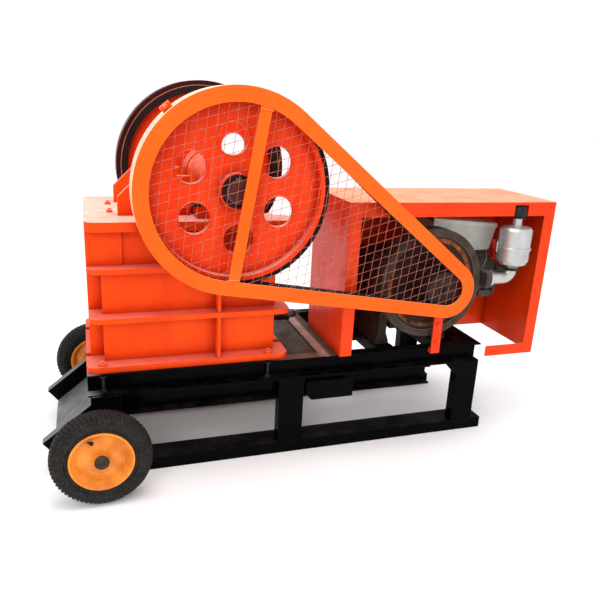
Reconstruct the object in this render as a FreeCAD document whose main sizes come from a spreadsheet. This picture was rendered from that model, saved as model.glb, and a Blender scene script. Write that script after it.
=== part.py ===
"""Diesel jaw crusher on a wheeled skid, as a parametric assembly. Millimetres, +Z up.

X runs along the skid from the crusher end (0) to the engine end, Y runs from the front face of the
deck (0) to the back, and Z = 0 is the underside of the skid rails and the ground.
"""

import FreeCAD, Part
import math
import os
import re

import Sketcher

Vector = FreeCAD.Vector

SIZES = {
    # deck and skid
    "deck_length": 1597, "deck_width": 570, "deck_top": 404,
    "beam_flange": 46, "beam_height": 82, "steel_wall": 6, "cross_height": 48,
    "support_end": 1363,
    "rail_start": 0, "rail_end": 1646, "rail_width": 100, "rail_height": 48,
    "leg_width": 100, "leg_depth": 48, "leg_near": 8, "leg_middle": 704, "gusset_leg": 60,
    "leg_middle_back": 800, "cross_width": 72, "cross_start": 868,
    "plate_thickness": 8, "hanger_start": 812, "hanger_length": 200, "hanger_height": 76,
    "hanger_chamfer": 25, "hanger_drop": 16,
    # ground wheels
    "wheel_radius": 170, "wheel_place": 34, "wheel_gap": 107, "tyre_width": 85,
    "rim_radius": 105, "wheel_hub_radius": 28, "axle_radius": 15, "run_gap": 0.05,
    # discharge chute
    "chute_bar_width": 38, "chute_bar_height": 64,
    "chute_slope": 38.3, "chute_reach": 165, "chute_mouth": 133, "chute_bar_end": 165,
    "chute_floor_end": 262, "chute_sheet": 5,
    # crusher frame
    "body_start": 16, "body_end": 691, "flange_end": 738, "body_front": 12, "body_back": 558,
    "body_top": 942, "panel_recess": 60, "corner_recess": 118, "side_wall": 30, "end_wall": 30,
    "base_flange": 22, "top_flange": 33, "rib_thick": 18, "lower_rib_top": 605,
    "upper_rib_top": 782, "corner_width": 47, "stiffener_place": 461, "stiffener_thick": 12,
    "flange_round": 34, "cheek_start": 130, "cheek_rise": 64, "cheek_slope": 75,
    "cheek_end": 380, "lip_step": 8, "lip_width": 120, "rear_wall_top": 760,
    # shaft, bearings and jaws
    "shaft_place": 502, "shaft_height": 1060, "shaft_radius": 40, "shaft_overhang": 8,
    "housing_radius": 95, "housing_width": 100, "housing_foot": 110, "housing_foot_height": 40,
    "jaw_head_radius": 92, "jaw_side_gap": 8, "jaw_plate": 26, "tooth_depth": 9,
    "tooth_count": 9, "jaw_top_place": 385, "jaw_bottom_place": 258, "jaw_bottom": 470,
    "blade_tip": 95, "blade_lean": 20,
    "jaw_plate_height": 400, "toggle_thick": 22, "toggle_jaw_height": 520,
    "toggle_seat_height": 570, "rod_radius": 10, "rod_height": 490, "rod_end": 852,
    "spring_radius": 24, "rod_hole": 34,
    # drive
    "pulley_radius": 318, "pulley_front": 98, "pulley_width": 80, "pulley_rim": 30,
    "pulley_web_setback": 36, "web_thick": 16, "hub_radius": 60, "spoke_hole": 52,
    "spoke_circle": 167, "spoke_count": 6, "spoke_start": 154,
    "flywheel_radius": 351, "flywheel_width": 84, "flywheel_gap": 12, "flywheel_rim": 46,
    "groove_depth": 10, "groove_width": 14, "groove_pitch": 18, "groove_count": 4,
    "belt_gap": 0.5, "fit_gap": 0.1,
    # belt guard
    "guard_front": 125, "guard_depth": 109, "guard_radius": 340, "guard_drop": 8,
    "guard_end_radius": 110, "guard_bar": 50, "guard_sheet": 4, "brace_width": 40,
    "brace_top_place": 586, "brace_bottom_place": 483, "mesh_wire": 2.4, "mesh_pitch": 31,
    "mesh_rise": 15.5, "mesh_lean": 83.5, "post_width": 40, "post_place": 1342,
    "post_drop": 17,
    "bracket_width": 46, "bracket_thick": 18, "bracket_upper_place": 184,
    "bracket_lower_place": 288,
    # engine
    "engine_place": 1325, "engine_height": 680, "engine_wheel_radius": 224,
    "engine_wheel_width": 60, "engine_wheel_front": 5, "engine_rim": 30,
    "engine_pulley_radius": 75, "engine_shaft_radius": 22, "block_start": 1130,
    "block_end": 1500, "block_front": 80, "block_back": 330, "block_bottom": 560,
    "block_top": 770, "sump_bottom": 462, "head_start": 1556, "head_end": 1700, "head_bottom": 590,
    "head_slope": 44, "cover_depth": 22, "foot_flange": 12, "foot_taper": 13,
    "foot_width": 62, "foot_near": 1133, "foot_far": 1403,
    "tank_top": 927, "tank_bottom": 788, "tank_start": 1366, "tank_end": 1670,
    "tank_front": 108, "tank_fall": 26, "tank_rake": 24,
    "cleaner_place": 1687, "cleaner_depth": 0, "cleaner_radius": 64, "neck_radius": 18,
    "cap_radius": 26, "cleaner_bottom": 750, "elbow_radius": 26, "elbow_bend": 36,
    "elbow_flange": 8, "port_height": 694, "port_width": 26,
    # hood
    "hood_start": 940, "hood_end": 1851, "hood_top": 1010, "hood_low": 349,
    "hood_front": 15, "hood_depth": 382, "hood_sheet": 3, "lip_top": 56, "lip_side": 46,
    "lip_low": 46,
}

LABELS = []


def start_document():
    """Opens the document and writes the driving dimensions to its sheet."""
    new_doc = FreeCAD.newDocument("JawCrusher")
    new_sheet = new_doc.addObject("Spreadsheet::Sheet", "Sizes")
    for row, (alias, number) in enumerate(SIZES.items(), start=1):
        new_sheet.set(f"A{row}", alias)
        new_sheet.set(f"B{row}", str(number))
        new_sheet.setAlias(f"B{row}", alias)
    new_doc.recompute()
    return new_doc, new_sheet


doc, sheet = start_document()


def size(alias):
    """Reads one driving dimension back from the sheet."""
    return float(sheet.get(alias))


def linked(text):
    """Turns plain aliases in a formula into references to the sheet's cells."""
    return re.sub(r"\b([a-z]+_[a-z_]+)\b", r"Sizes.\1", str(text))


def bind(item, path, text):
    """Binds one property to a formula of sheet cells."""
    item.setExpression(path, linked(text))


def name_part(item, label):
    """Marks an object as a finished sub-part: its label names its file."""
    item.Label = label
    LABELS.append(label)
    return item


def place(item, spot):
    """Binds an object's position to three formulas."""
    for letter, text in zip("xyz", spot):
        bind(item, f"Placement.Base.{letter}", text)


def box(spot, lengths):
    """A block with its low corner at spot."""
    item = doc.addObject("Part::Box", "Block")
    for side, text in zip(("Length", "Width", "Height"), lengths):
        bind(item, side, text)
    place(item, spot)
    return item


def cylinder(spot, radius, height, along="Z"):
    """A round bar from spot along one axis."""
    item = doc.addObject("Part::Cylinder", "Round")
    bind(item, "Radius", radius)
    bind(item, "Height", height)
    turns = {"Z": (0, 0, 1, 0), "X": (0, 1, 0, 90), "Y": (1, 0, 0, -90)}
    *axis, angle = turns[along]
    item.Placement.Rotation = FreeCAD.Rotation(Vector(*axis), angle)
    place(item, spot)
    return item


def cut(base, *tools):
    """The base with each tool taken away."""
    item = base
    for tool in tools:
        result = doc.addObject("Part::Cut", "Cut")
        result.Base = item
        result.Tool = tool
        item = result
    return item


def fuse(*items):
    """One solid from several that touch or overlap."""
    result = doc.addObject("Part::MultiFuse", "Fuse")
    result.Shapes = list(items)
    result.Refine = True
    return result


def group(*items):
    """Several solids that don't touch, kept as one sub-part."""
    result = doc.addObject("Part::Compound", "Group")
    result.Links = list(items)
    return result


def plane_of(body, role):
    """One of a body's own origin planes."""
    return next(f for f in body.Origin.OriginFeatures if f.Role == role)


def outline_sketch(body, role, points):
    """A closed polygon on an origin plane, every corner bound to the sheet.

    On XZ_Plane the sketch's axes are X and Z, on XY_Plane X and Y, and on YZ_Plane Y and Z.
    """
    sketch = body.newObject("Sketcher::SketchObject", "Outline")
    sketch.AttachmentSupport = [(plane_of(body, role), "")]
    sketch.MapMode = "FlatFace"
    corners = [
        Vector(100 * math.cos(2 * math.pi * step / max(1, len(points))),
               100 * math.sin(2 * math.pi * step / max(1, len(points))), 0)
        for step in range(len(points))
    ]
    for start, end in zip(corners, corners[1:] + corners[:1]):
        sketch.addGeometry(Part.LineSegment(start, end), False)
    count = len(corners)
    for step in range(count):
        follow = (step + 1) % count
        sketch.addConstraint(Sketcher.Constraint("Coincident", step, 2, follow, 1))
    for step, (across, up) in enumerate(points):
        bind_point(sketch, step, 1, corners[step], across, up)
    return sketch


def bind_point(sketch, geometry, corner, now, across, up):
    """Fixes one sketch point by its two distances from the sketch's origin."""
    for kind, value, text in (("DistanceX", now.x, across), ("DistanceY", now.y, up)):
        limit = sketch.addConstraint(Sketcher.Constraint(kind, -1, 1, geometry, corner, value))
        bind(sketch, f"Constraints[{limit}]", text)


def prism(role, points, start, thickness):
    """A flat plate of any outline, from start along the plane's normal row axis."""
    body = doc.addObject("PartDesign::Body", "Plate")
    sketch = outline_sketch(body, role, points)
    pad = body.newObject("PartDesign::Pad", "Pad")
    pad.Profile = sketch
    bind(pad, "Length", thickness)
    pad.Reversed = role == "XZ_Plane"
    spot = {"XZ_Plane": "y", "XY_Plane": "z", "YZ_Plane": "x"}[role]
    bind(body, f"Placement.Base.{spot}", start)
    sketch.Visibility = False
    return body


def turned(points, spot):
    """A round body about an axis along Y at spot: points are (radius, depth)."""
    body = doc.addObject("PartDesign::Body", "Turned")
    sketch = outline_sketch(body, "XY_Plane", points)
    revolution = body.newObject("PartDesign::Revolution", "Revolution")
    revolution.Profile = sketch
    revolution.ReferenceAxis = (sketch, ["V_Axis"])
    revolution.Angle = 360
    place(body, spot)
    return body


def ring_of_holes(body, radius, circle, count, start):
    """Cuts a ring of round holes along Y through a turned body."""
    sketch = body.newObject("Sketcher::SketchObject", "HoleSketch")
    sketch.AttachmentSupport = [(plane_of(body, "XZ_Plane"), "")]
    sketch.MapMode = "FlatFace"
    ring = sketch.addGeometry(Part.Circle(Vector(9, 9, 0), Vector(0, 0, 1), 2), False)
    bind_point(sketch, ring, 3, Vector(9, 9, 0),
               f"{circle} * cos({start} * 1deg)", f"{circle} * sin({start} * 1deg)")
    limit = sketch.addConstraint(Sketcher.Constraint("Radius", ring, 2))
    bind(sketch, f"Constraints[{limit}]", radius)
    pocket = body.newObject("PartDesign::Pocket", "Holes")
    pocket.Profile = sketch
    pocket.Type = "ThroughAll"
    pocket.Midplane = True
    doc.recompute()
    pattern = body.newObject("PartDesign::PolarPattern", "HolePattern")
    pattern.Originals = [pocket]
    pattern.Axis = (sketch, ["N_Axis"])
    pattern.Angle = 360
    bind(pattern, "Occurrences", count)
    body.Tip = pattern
    doc.recompute()
    return body


def shape_part(label, shape):
    """A sub-part whose shape is built in code from the sheet's sizes."""
    item = doc.addObject("Part::Feature", "Shaped")
    item.Shape = shape
    item.Placement = FreeCAD.Placement()
    return name_part(item, label)


# ---------------------------------------------------------------- skid and deck

def channel_along_x(start, front, bottom, length, width, height):
    """A flat-laid channel with its web on top and both flanges down."""
    outer = box((start, front, bottom), (length, width, height))
    inner = box((start, f"{front} + steel_wall", bottom),
                (length, f"{width} - 2 * steel_wall", f"{height} - steel_wall"))
    return cut(outer, inner)


def channel_along_y(start, front, bottom, length, width, height):
    """The same channel, lying across the deck."""
    outer = box((start, front, bottom), (width, length, height))
    inner = box((f"{start} + steel_wall", front, bottom),
                (f"{width} - 2 * steel_wall", length, f"{height} - steel_wall"))
    return cut(outer, inner)


def channel_on_edge(start, end, bottom, faces_front):
    """A deck section along X that stands on edge, open to the outside of the skid."""
    length = f"{end} - ({start})"
    spot = "0" if faces_front else "deck_width - beam_flange"
    hollow = "0" if faces_front else "deck_width - beam_flange + steel_wall"
    outer = box((start, spot, bottom), (length, "beam_flange", "beam_height"))
    inner = box((start, hollow, f"{bottom} + steel_wall"),
                (length, "beam_flange - steel_wall", "beam_height - 2 * steel_wall"))
    return cut(outer, inner)


def make_skid_frame():
    """The two long channels that lie on the ground."""
    length = "rail_end - rail_start"
    fronts = ("0", "deck_width - rail_width")
    rails = [channel_along_x("rail_start", front, "0", length, "rail_width", "rail_height")
             for front in fronts]
    name_part(group(*rails), "skid_frame")


def leg(start, front, web_in_front):
    """An upright channel from the skid rail to the deck beam, web outwards."""
    height = "deck_top - beam_height - rail_height"
    outer = box((start, front, "rail_height"), ("leg_width", "leg_depth", height))
    hollow_front = f"{front} + steel_wall" if web_in_front else front
    hollow = box((f"{start} + steel_wall", hollow_front, "rail_height"),
                 ("leg_width - 2 * steel_wall", "leg_depth - steel_wall", height))
    return cut(outer, hollow)


def gusset(front):
    """The small corner plate between the last leg and the deck beam."""
    edge = "deck_length - leg_width"
    under = "deck_top - beam_height"
    points = [(edge, f"{under} - gusset_leg"), (edge, under), (f"{edge} - gusset_leg", under)]
    return prism("XZ_Plane", points, front, "steel_wall")


def make_legs():
    """Three pairs of legs. The near pair is bored for the wheel axle."""
    legs = []
    for front, web_in_front, middle in (("0", True, "leg_middle"),
                                        ("deck_width - leg_depth", False, "leg_middle_back")):
        near = leg("leg_near", front, web_in_front)
        bore = cylinder(("wheel_place", f"{front} - 1", "wheel_radius"),
                        "axle_radius + fit_gap", "leg_depth + 2", "Y")
        legs.append(cut(near, bore))
        legs.append(leg(middle, front, web_in_front))
        gusset_front = front if web_in_front else "deck_width - steel_wall"
        legs.append(fuse(leg("deck_length - leg_width", front, web_in_front),
                         gusset(gusset_front)))
    name_part(group(*legs), "legs")


def make_deck_beams():
    """The deck's two long members."""
    beams = [channel_on_edge("0", "deck_length", "deck_top - beam_height", faces_front)
             for faces_front in (True, False)]
    name_part(group(*beams), "deck_beams")


def make_support_rails():
    """The second run of the same section under each deck beam, fitted between the legs."""
    bottom = "deck_top - 2 * beam_height"
    rails = []
    for faces_front, middle in ((True, "leg_middle"), (False, "leg_middle_back")):
        rails.append(channel_on_edge("leg_near + leg_width", middle, bottom, faces_front))
        rails.append(channel_on_edge(f"{middle} + leg_width", "support_end", bottom,
                                     faces_front))
    name_part(group(*rails), "support_rails")


def make_cross_members():
    """The deck's cross channels, between the two long beams."""
    front = "beam_flange"
    length = "deck_width - 2 * beam_flange"
    bottom = "deck_top - cross_height"
    under_foot = "foot_width + 10"
    places = (("0", "cross_width"), ("cross_start", "cross_width"),
              ("foot_near - 5", under_foot), ("foot_far - 5", under_foot),
              ("deck_length - leg_width", "leg_width"))
    members = [channel_along_y(start, front, bottom, length, width, "cross_height")
               for start, width in places]
    name_part(group(*members), "deck_cross_members")


def make_deck_plate():
    """The floor plate between the crusher and the first cross member."""
    start = "body_end + 20"
    name_part(box((start, "beam_flange", "deck_top - steel_wall - plate_thickness"),
                  (f"cross_start - ({start})", "deck_width - 2 * beam_flange", "plate_thickness")),
              "deck_plate")


def make_hanger_plate():
    """The plate hung on the front support rail, with one corner cut off."""
    low = "deck_top - 2 * beam_height - hanger_drop"
    high = f"{low} + hanger_height"
    right = "hanger_start + hanger_length"
    points = [("hanger_start + hanger_chamfer", low), (right, low), (right, high),
              ("hanger_start", high), ("hanger_start", f"{low} + hanger_chamfer")]
    name_part(prism("XZ_Plane", points, "-steel_wall", "steel_wall"), "hanger_plate")


# ---------------------------------------------------------------- ground wheels

def make_axle():
    """One round axle through the near legs, with a washer and nut outside each wheel."""
    outer = "wheel_gap + tyre_width"
    length = f"deck_width + 2 * ({outer}) - 20"
    bar = cylinder(("wheel_place", f"-({outer}) + 10", "wheel_radius"), "axle_radius", length, "Y")
    ends = []
    for spot in (f"-({outer}) + 2", f"deck_width + {outer} - 12"):
        ends.append(cylinder(("wheel_place", spot, "wheel_radius"),
                             "wheel_hub_radius - 6", "10", "Y"))
    name_part(fuse(bar, *ends), "axle")


def make_wheel(side, spot):
    """A pneumatic tyre on a dished pressed rim that turns on the axle."""
    half = "tyre_width / 2"
    bead = "rim_radius + 3"
    tyre_points = [
        (bead, f"-{half} + 14"), ("rim_radius + 16", f"-{half} + 4"),
        ("wheel_radius - 32", f"-{half}"), ("wheel_radius - 12", f"-{half} + 7"),
        ("wheel_radius - 3", f"-{half} + 20"), ("wheel_radius", f"-{half} + 32"),
        ("wheel_radius", f"{half} - 32"), ("wheel_radius - 3", f"{half} - 20"),
        ("wheel_radius - 12", f"{half} - 7"), ("wheel_radius - 32", half),
        ("rim_radius + 16", f"{half} - 4"), (bead, f"{half} - 14"),
    ]
    centre = ("wheel_place", spot, "wheel_radius")
    name_part(turned(tyre_points, centre), f"wheel_tyre_{side}")
    bore = "axle_radius + run_gap"
    rim_points = [
        (bore, f"-{half} + 14"), ("wheel_hub_radius", f"-{half} + 14"),
        ("wheel_hub_radius", "-13"), ("rim_radius - 45", "-18"), ("rim_radius - 22", "-9"),
        ("rim_radius - 12", f"-{half} + 20"), ("rim_radius - 4", f"-{half} + 8"),
        ("rim_radius + 2.9", f"-{half} + 8"), ("rim_radius + 2.9", f"-{half} + 13"),
        ("rim_radius - 2", f"-{half} + 16"), ("rim_radius - 2", f"{half} - 16"),
        ("rim_radius + 2.9", f"{half} - 13"), ("rim_radius + 2.9", f"{half} - 8"),
        ("rim_radius - 7", f"{half} - 8"), ("rim_radius - 10", "2"),
        ("rim_radius - 25", "-2"), ("rim_radius - 45", "-12"), ("wheel_hub_radius", "-7"),
        ("wheel_hub_radius", f"{half} - 14"), (bore, f"{half} - 14"),
    ]
    name_part(turned(rim_points, centre), f"wheel_rim_{side}")


# ---------------------------------------------------------------- discharge chute

def slope_line(across, height_drop="0"):
    """The height of the chute's top edge at one X, less a drop."""
    return (f"chute_mouth + (({across}) + chute_reach) * tan(chute_slope * 1deg)"
            f" - ({height_drop})")


def chute_outline(top_drop, bottom_drop, far):
    """A sloping strip between two drops below the chute's top edge, square at the mouth."""
    mouth = "-chute_reach"
    back = "sin(chute_slope * 1deg)"
    down = "cos(chute_slope * 1deg)"
    return [
        (f"{mouth} + ({top_drop}) * {back}", f"chute_mouth - ({top_drop}) * {down}"),
        (f"{mouth} + ({bottom_drop}) * {back}", f"chute_mouth - ({bottom_drop}) * {down}"),
        (far, slope_line(far, f"({bottom_drop}) / {down}")),
        (far, slope_line(far, f"({top_drop}) / {down}")),
    ]


def make_chute():
    """Two sloping side bars that hang under the deck, with a sheet between them."""
    outline = chute_outline("0", "chute_bar_height", "chute_bar_end")
    spots = ("leg_depth", "deck_width - leg_depth - chute_bar_width")
    bars = [prism("XZ_Plane", outline, spot, "chute_bar_width") for spot in spots]
    name_part(group(*bars), "chute_bars")
    floor = chute_outline("chute_bar_height - chute_sheet", "chute_bar_height",
                          "chute_floor_end")
    name_part(prism("XZ_Plane", floor, "leg_depth + chute_bar_width",
                    "deck_width - 2 * (leg_depth + chute_bar_width)"), "chute_floor")


# ---------------------------------------------------------------- crusher frame

def side_wall(label, front):
    """A cast side wall: a plate with a boxed-out panel, ribs, flanges and the cheek above.

    The front wall's ribs reach towards -Y; the back wall is its mirror image.
    """
    inner = "body_front + corner_recess"
    plate_front = inner if front else "body_back - corner_recess - side_wall"
    cheek_low = "cheek_start + cheek_slope"
    plate = prism("XZ_Plane", [
        ("body_start", "deck_top"), ("body_end", "deck_top"), ("body_end", "body_top"),
        ("cheek_end", "body_top"), ("cheek_end", "body_top + cheek_rise + cheek_slope"),
        (cheek_low, "body_top + cheek_rise + cheek_slope"),
        ("cheek_start", "body_top + cheek_rise"), ("cheek_start", "body_top"),
        ("body_start", "body_top"),
    ], plate_front, "side_wall")

    def outward(depth, reach):
        """Y start and width of a block from a depth inside the wall's front to the plate."""
        if front:
            return f"body_front + {depth}", reach
        return f"body_back - ({depth}) - ({reach})", reach

    ledges = []
    for low, thick, start in (("deck_top", "base_flange", "0"),
                              ("lower_rib_top - rib_thick", "rib_thick", "body_start"),
                              ("upper_rib_top - rib_thick", "rib_thick", "body_start"),
                              ("body_top - top_flange", "top_flange", "body_start")):
        spot, width = outward("0", "corner_recess")
        block = box((start, spot, low), (f"flange_end - {start}", width, thick))
        ledges.append(rounded_corners(block, front, start))
    spot, width = outward("panel_recess", "corner_recess - panel_recess")
    panel_start = "body_start + corner_width"
    panel = box((panel_start, spot, "deck_top"),
                (f"body_end - ({panel_start})", width, "upper_rib_top - deck_top"))
    upper = box(("body_start", spot, "upper_rib_top"),
                ("body_end - body_start", width, "body_top - upper_rib_top"))
    spot, width = outward("panel_recess - lip_step", "lip_step")
    pad = box(("body_start", spot, "upper_rib_top"),
              ("lip_width", width, "body_top - upper_rib_top"))
    spot, width = outward("4", "panel_recess - 4")
    stiffener = box(("stiffener_place", spot, "deck_top"),
                    ("stiffener_thick", width, "upper_rib_top - deck_top"))
    name_part(fuse(plate, *ledges, panel, upper, pad, stiffener), label)


def rounded_corners(block, front, start):
    """A ledge whose two outer corners are rounded."""
    radius = "flange_round"
    edge_y = "body_front - 1" if front else f"body_back - {radius}"
    centre_y = f"body_front + {radius}" if front else f"body_back - {radius}"
    shape = block
    for corner_x, centre_x in ((f"{start} - 1", f"{start} + {radius}"),
                               (f"flange_end - {radius}", f"flange_end - {radius}")):
        square = box((corner_x, edge_y, "deck_top - 5"),
                     (f"{radius} + 1", f"{radius} + 1", "body_top"))
        disc = cylinder((centre_x, centre_y, "deck_top - 5"), radius, "body_top")
        shape = cut(shape, cut(square, disc))
    return shape


def make_end_walls():
    """The two end walls between the side walls; the discharge end's top stays open."""
    near = "body_front + corner_recess + side_wall"
    width = "body_back - body_front - 2 * corner_recess - 2 * side_wall"
    plate_start = "body_start + corner_recess - 6"
    plate = box((plate_start, near, "deck_top"), ("end_wall", width, "body_top - deck_top"))
    ledges = []
    for low, thick, start in (("deck_top", "base_flange", "0"),
                              ("lower_rib_top - rib_thick", "rib_thick", "body_start"),
                              ("upper_rib_top - rib_thick", "rib_thick", "body_start"),
                              ("body_top - top_flange", "top_flange", "body_start")):
        ledges.append(box((start, near, low), (f"{plate_start} - {start}", width, thick)))
    name_part(fuse(plate, *ledges), "end_wall_feed")
    rear_start = "body_end - end_wall"
    rear = box((rear_start, near, "deck_top"), ("end_wall", width, "rear_wall_top - deck_top"))
    rear_foot = box(("body_end", near, "deck_top"), ("flange_end - body_end", width, "base_flange"))
    hole = cylinder((f"{rear_start} - 1", "deck_width / 2", "rod_height"), "rod_hole / 2",
                    "end_wall + 2", "X")
    seat_low = "toggle_seat_height - 45"
    seat = box((f"{rear_start} - 50", near, seat_low), ("50", width, "90"))
    notch = box((f"{rear_start} - 51", f"{near} - 1", "toggle_seat_height - toggle_thick"),
                ("31", f"{width} + 2", "2 * toggle_thick"))
    name_part(cut(fuse(rear, rear_foot, seat), hole, notch), "end_wall_toggle")


# ---------------------------------------------------------------- jaws and toggle

def toothed_plate(height, thickness, faces_right):
    """A jaw plate with upright triangular teeth on one face, lying from X 0 across Y."""
    near = "body_front + corner_recess + side_wall + 1"
    width = "(body_back - body_front - 2 * corner_recess - 2 * side_wall - 2)"
    root = f"({thickness}) - tooth_depth"
    sign = "" if faces_right else "-"
    points = [("0", near)]
    count = int(size("tooth_count"))
    for tooth in range(count):
        points.append((f"{sign}({root})", f"{near} + {width} * {tooth} / {count}"))
        points.append((f"{sign}({thickness})", f"{near} + {width} * ({tooth} + 0.5) / {count}"))
    points.append((f"{sign}({root})", f"{near} + {width}"))
    points.append(("0", f"{near} + {width}"))
    return prism("XY_Plane", points, "0", height)


def make_jaw_plates():
    """The upright fixed plate and the leaning moving plate that face each other."""
    fixed = toothed_plate("jaw_plate_height", "jaw_plate", True)
    place(fixed, ("body_start + corner_recess - 6 + end_wall", "0", "body_top - jaw_plate_height"))
    name_part(fixed, "fixed_jaw_plate")
    lean = "atan((jaw_top_place - jaw_bottom_place) / (body_top - jaw_bottom))"
    moving = toothed_plate("jaw_plate_height + 60", "jaw_plate", False)
    moving.Placement.Rotation = FreeCAD.Rotation(Vector(0, 1, 0), 1)
    bind(moving, "Placement.Rotation.Angle", lean)
    place(moving, ("jaw_bottom_place", "0", "jaw_bottom"))
    name_part(moving, "swing_jaw_plate")


def jaw_back(height):
    """Where the blade's back face is at one height, between the toggle and the tip."""
    return (f"jaw_bottom_place + blade_tip + blade_lean * (({height}) - jaw_bottom)"
            " / (toggle_jaw_height + 60 - jaw_bottom)")


def make_swing_jaw():
    """The moving jaw: a head round the shaft and a tapering blade down to the toggle."""
    near = "body_front + corner_recess + side_wall + jaw_side_gap"
    width = "body_back - body_front - 2 * (corner_recess + side_wall + jaw_side_gap)"
    head = cylinder(("shaft_place", near, "shaft_height"), "jaw_head_radius", width, "Y")
    blade = prism("XZ_Plane", [
        ("jaw_bottom_place", "jaw_bottom"), (jaw_back("jaw_bottom"), "jaw_bottom"),
        (jaw_back("toggle_jaw_height + 60"), "toggle_jaw_height + 60"),
        ("shaft_place + jaw_head_radius", "shaft_height"),
        ("shaft_place - jaw_head_radius", "shaft_height"),
        ("jaw_top_place", "body_top"),
    ], near, width)
    bore = cylinder(("shaft_place", f"{near} - 1", "shaft_height"), "shaft_radius + run_gap",
                    f"{width} + 2", "Y")
    name_part(cut(fuse(head, blade), bore), "swing_jaw")


def make_toggle():
    """The plate that pushes the swing jaw from its seat on the end wall."""
    near = "body_front + corner_recess + side_wall + 10"
    width = "body_back - body_front - 2 * (corner_recess + side_wall + 10)"
    half = "toggle_thick / 2"
    jaw_x = jaw_back(f"toggle_jaw_height + {half}") + " + fit_gap"
    seat_x = "body_end - end_wall - 20"
    points = [(jaw_x, f"toggle_jaw_height - {half}"), (seat_x, f"toggle_seat_height - {half}"),
              (seat_x, f"toggle_seat_height + {half}"), (jaw_x, f"toggle_jaw_height + {half}")]
    name_part(prism("XZ_Plane", points, near, width), "toggle_plate")


def make_tension_rod():
    """The rod that pulls the jaw back, with its spring and nuts outside the end wall."""
    axis_y = "deck_width / 2"
    start = jaw_back("rod_height + rod_radius") + " + fit_gap"
    rod = cylinder((start, axis_y, "rod_height"), "rod_radius", f"rod_end - ({start})", "X")
    spring = cylinder(("body_end + 8", axis_y, "rod_height"), "spring_radius",
                      "rod_end - body_end - 52", "X")
    washers = [cylinder((spot, axis_y, "rod_height"), "spring_radius + 6", thick, "X")
               for spot, thick in (("body_end", "8"), ("rod_end - 44", "8"))]
    nut = cylinder(("rod_end - 36", axis_y, "rod_height"), "spring_radius - 6", "20", "X")
    name_part(fuse(rod, spring, *washers, nut), "tension_rod")


# ---------------------------------------------------------------- shaft, pulley, flywheel

def make_bearings():
    """Two bearing housings bolted on the side walls' top flanges."""
    housings = []
    for near in ("body_front + corner_recess + side_wall - housing_width",
                 "body_back - corner_recess - side_wall"):
        drum = cylinder(("shaft_place", near, "shaft_height"), "housing_radius",
                        "housing_width", "Y")
        neck = box(("shaft_place - housing_radius", near, "body_top"),
                   ("2 * housing_radius", "housing_width", "shaft_height - body_top"))
        foot = box(("shaft_place - housing_foot", near, "body_top"),
                   ("2 * housing_foot", "housing_width", "housing_foot_height"))
        bore = cylinder(("shaft_place", f"{near} - 1", "shaft_height"),
                        "shaft_radius + run_gap", "housing_width + 2", "Y")
        housings.append(cut(fuse(drum, neck, foot), bore))
    name_part(group(*housings), "bearing_housings")


def make_shaft():
    """The eccentric shaft from the pulley's face to the flywheel's."""
    start = "-(pulley_front + shaft_overhang)"
    length = ("body_back + flywheel_gap + flywheel_width + pulley_front"
              " + 2 * shaft_overhang")
    name_part(cylinder(("shaft_place", start, "shaft_height"), "shaft_radius", length, "Y"),
              "eccentric_shaft")


def grooved_rim(radius, width):
    """The outline of a grooved rim, from its front edge to its back edge."""
    points = [(radius, "0")]
    first = f"({width} - (groove_count - 1) * groove_pitch) / 2"
    for groove in range(int(size("groove_count"))):
        centre = f"{first} + {groove} * groove_pitch"
        points.append((radius, f"{centre} - groove_width / 2"))
        points.append((f"{radius} - groove_depth", f"{centre} - groove_width / 2 + 2"))
        points.append((f"{radius} - groove_depth", f"{centre} + groove_width / 2 - 2"))
        points.append((radius, f"{centre} + groove_width / 2"))
    points.append((radius, width))
    return points


def make_drive_pulley():
    """The crusher's grooved pulley wheel with six lightening holes."""
    bore = "shaft_radius + fit_gap"
    web = "pulley_web_setback"
    inner = "pulley_radius - pulley_rim"
    points = grooved_rim("pulley_radius", "pulley_width") + [
        (inner, "pulley_width"), (inner, f"{web} + web_thick"),
        ("hub_radius", f"{web} + web_thick"), ("hub_radius", "pulley_width"),
        (bore, "pulley_width"), (bore, "4"), ("hub_radius", "4"),
        ("hub_radius", web), (inner, web), (inner, "0"),
    ]
    wheel = turned(points, ("shaft_place", "-pulley_front", "shaft_height"))
    ring_of_holes(wheel, "spoke_hole", "spoke_circle", "spoke_count", "spoke_start")
    name_part(wheel, "drive_pulley")


def make_flywheel():
    """The plain, heavier wheel on the shaft's far end."""
    bore = "shaft_radius + fit_gap"
    web = "(flywheel_width - web_thick) / 2"
    inner = "flywheel_radius - flywheel_rim"
    points = [
        ("flywheel_radius", "0"), ("flywheel_radius", "flywheel_width"),
        (inner, "flywheel_width"), (inner, f"{web} + web_thick"),
        ("hub_radius", f"{web} + web_thick"), ("hub_radius", "flywheel_width"),
        (bore, "flywheel_width"), (bore, "0"), ("hub_radius", "0"), ("hub_radius", web),
        (inner, web), (inner, "0"),
    ]
    wheel = turned(points, ("shaft_place", "body_back + flywheel_gap", "shaft_height"))
    ring_of_holes(wheel, "spoke_hole", "spoke_circle", "spoke_count", "spoke_start")
    name_part(wheel, "flywheel")


# ---------------------------------------------------------------- belt and guard

def loop_points(centre_a, radius_a, centre_b, radius_b):
    """The tangent points of the band round two circles, and each arc's middle point."""
    span = centre_b - centre_a
    heading = math.atan2(span.z, span.x)
    lean = math.asin((radius_a - radius_b) / span.Length)

    def spot(centre, radius, angle):
        """A point on a circle in the XZ plane."""
        return centre + Vector(radius * math.cos(angle), 0, radius * math.sin(angle))

    upper = heading + math.pi / 2 - lean
    lower = heading - math.pi / 2 + lean
    return (spot(centre_a, radius_a, upper), spot(centre_a, radius_a, heading + math.pi),
            spot(centre_a, radius_a, lower), spot(centre_b, radius_b, lower),
            spot(centre_b, radius_b, heading), spot(centre_b, radius_b, upper))


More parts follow.
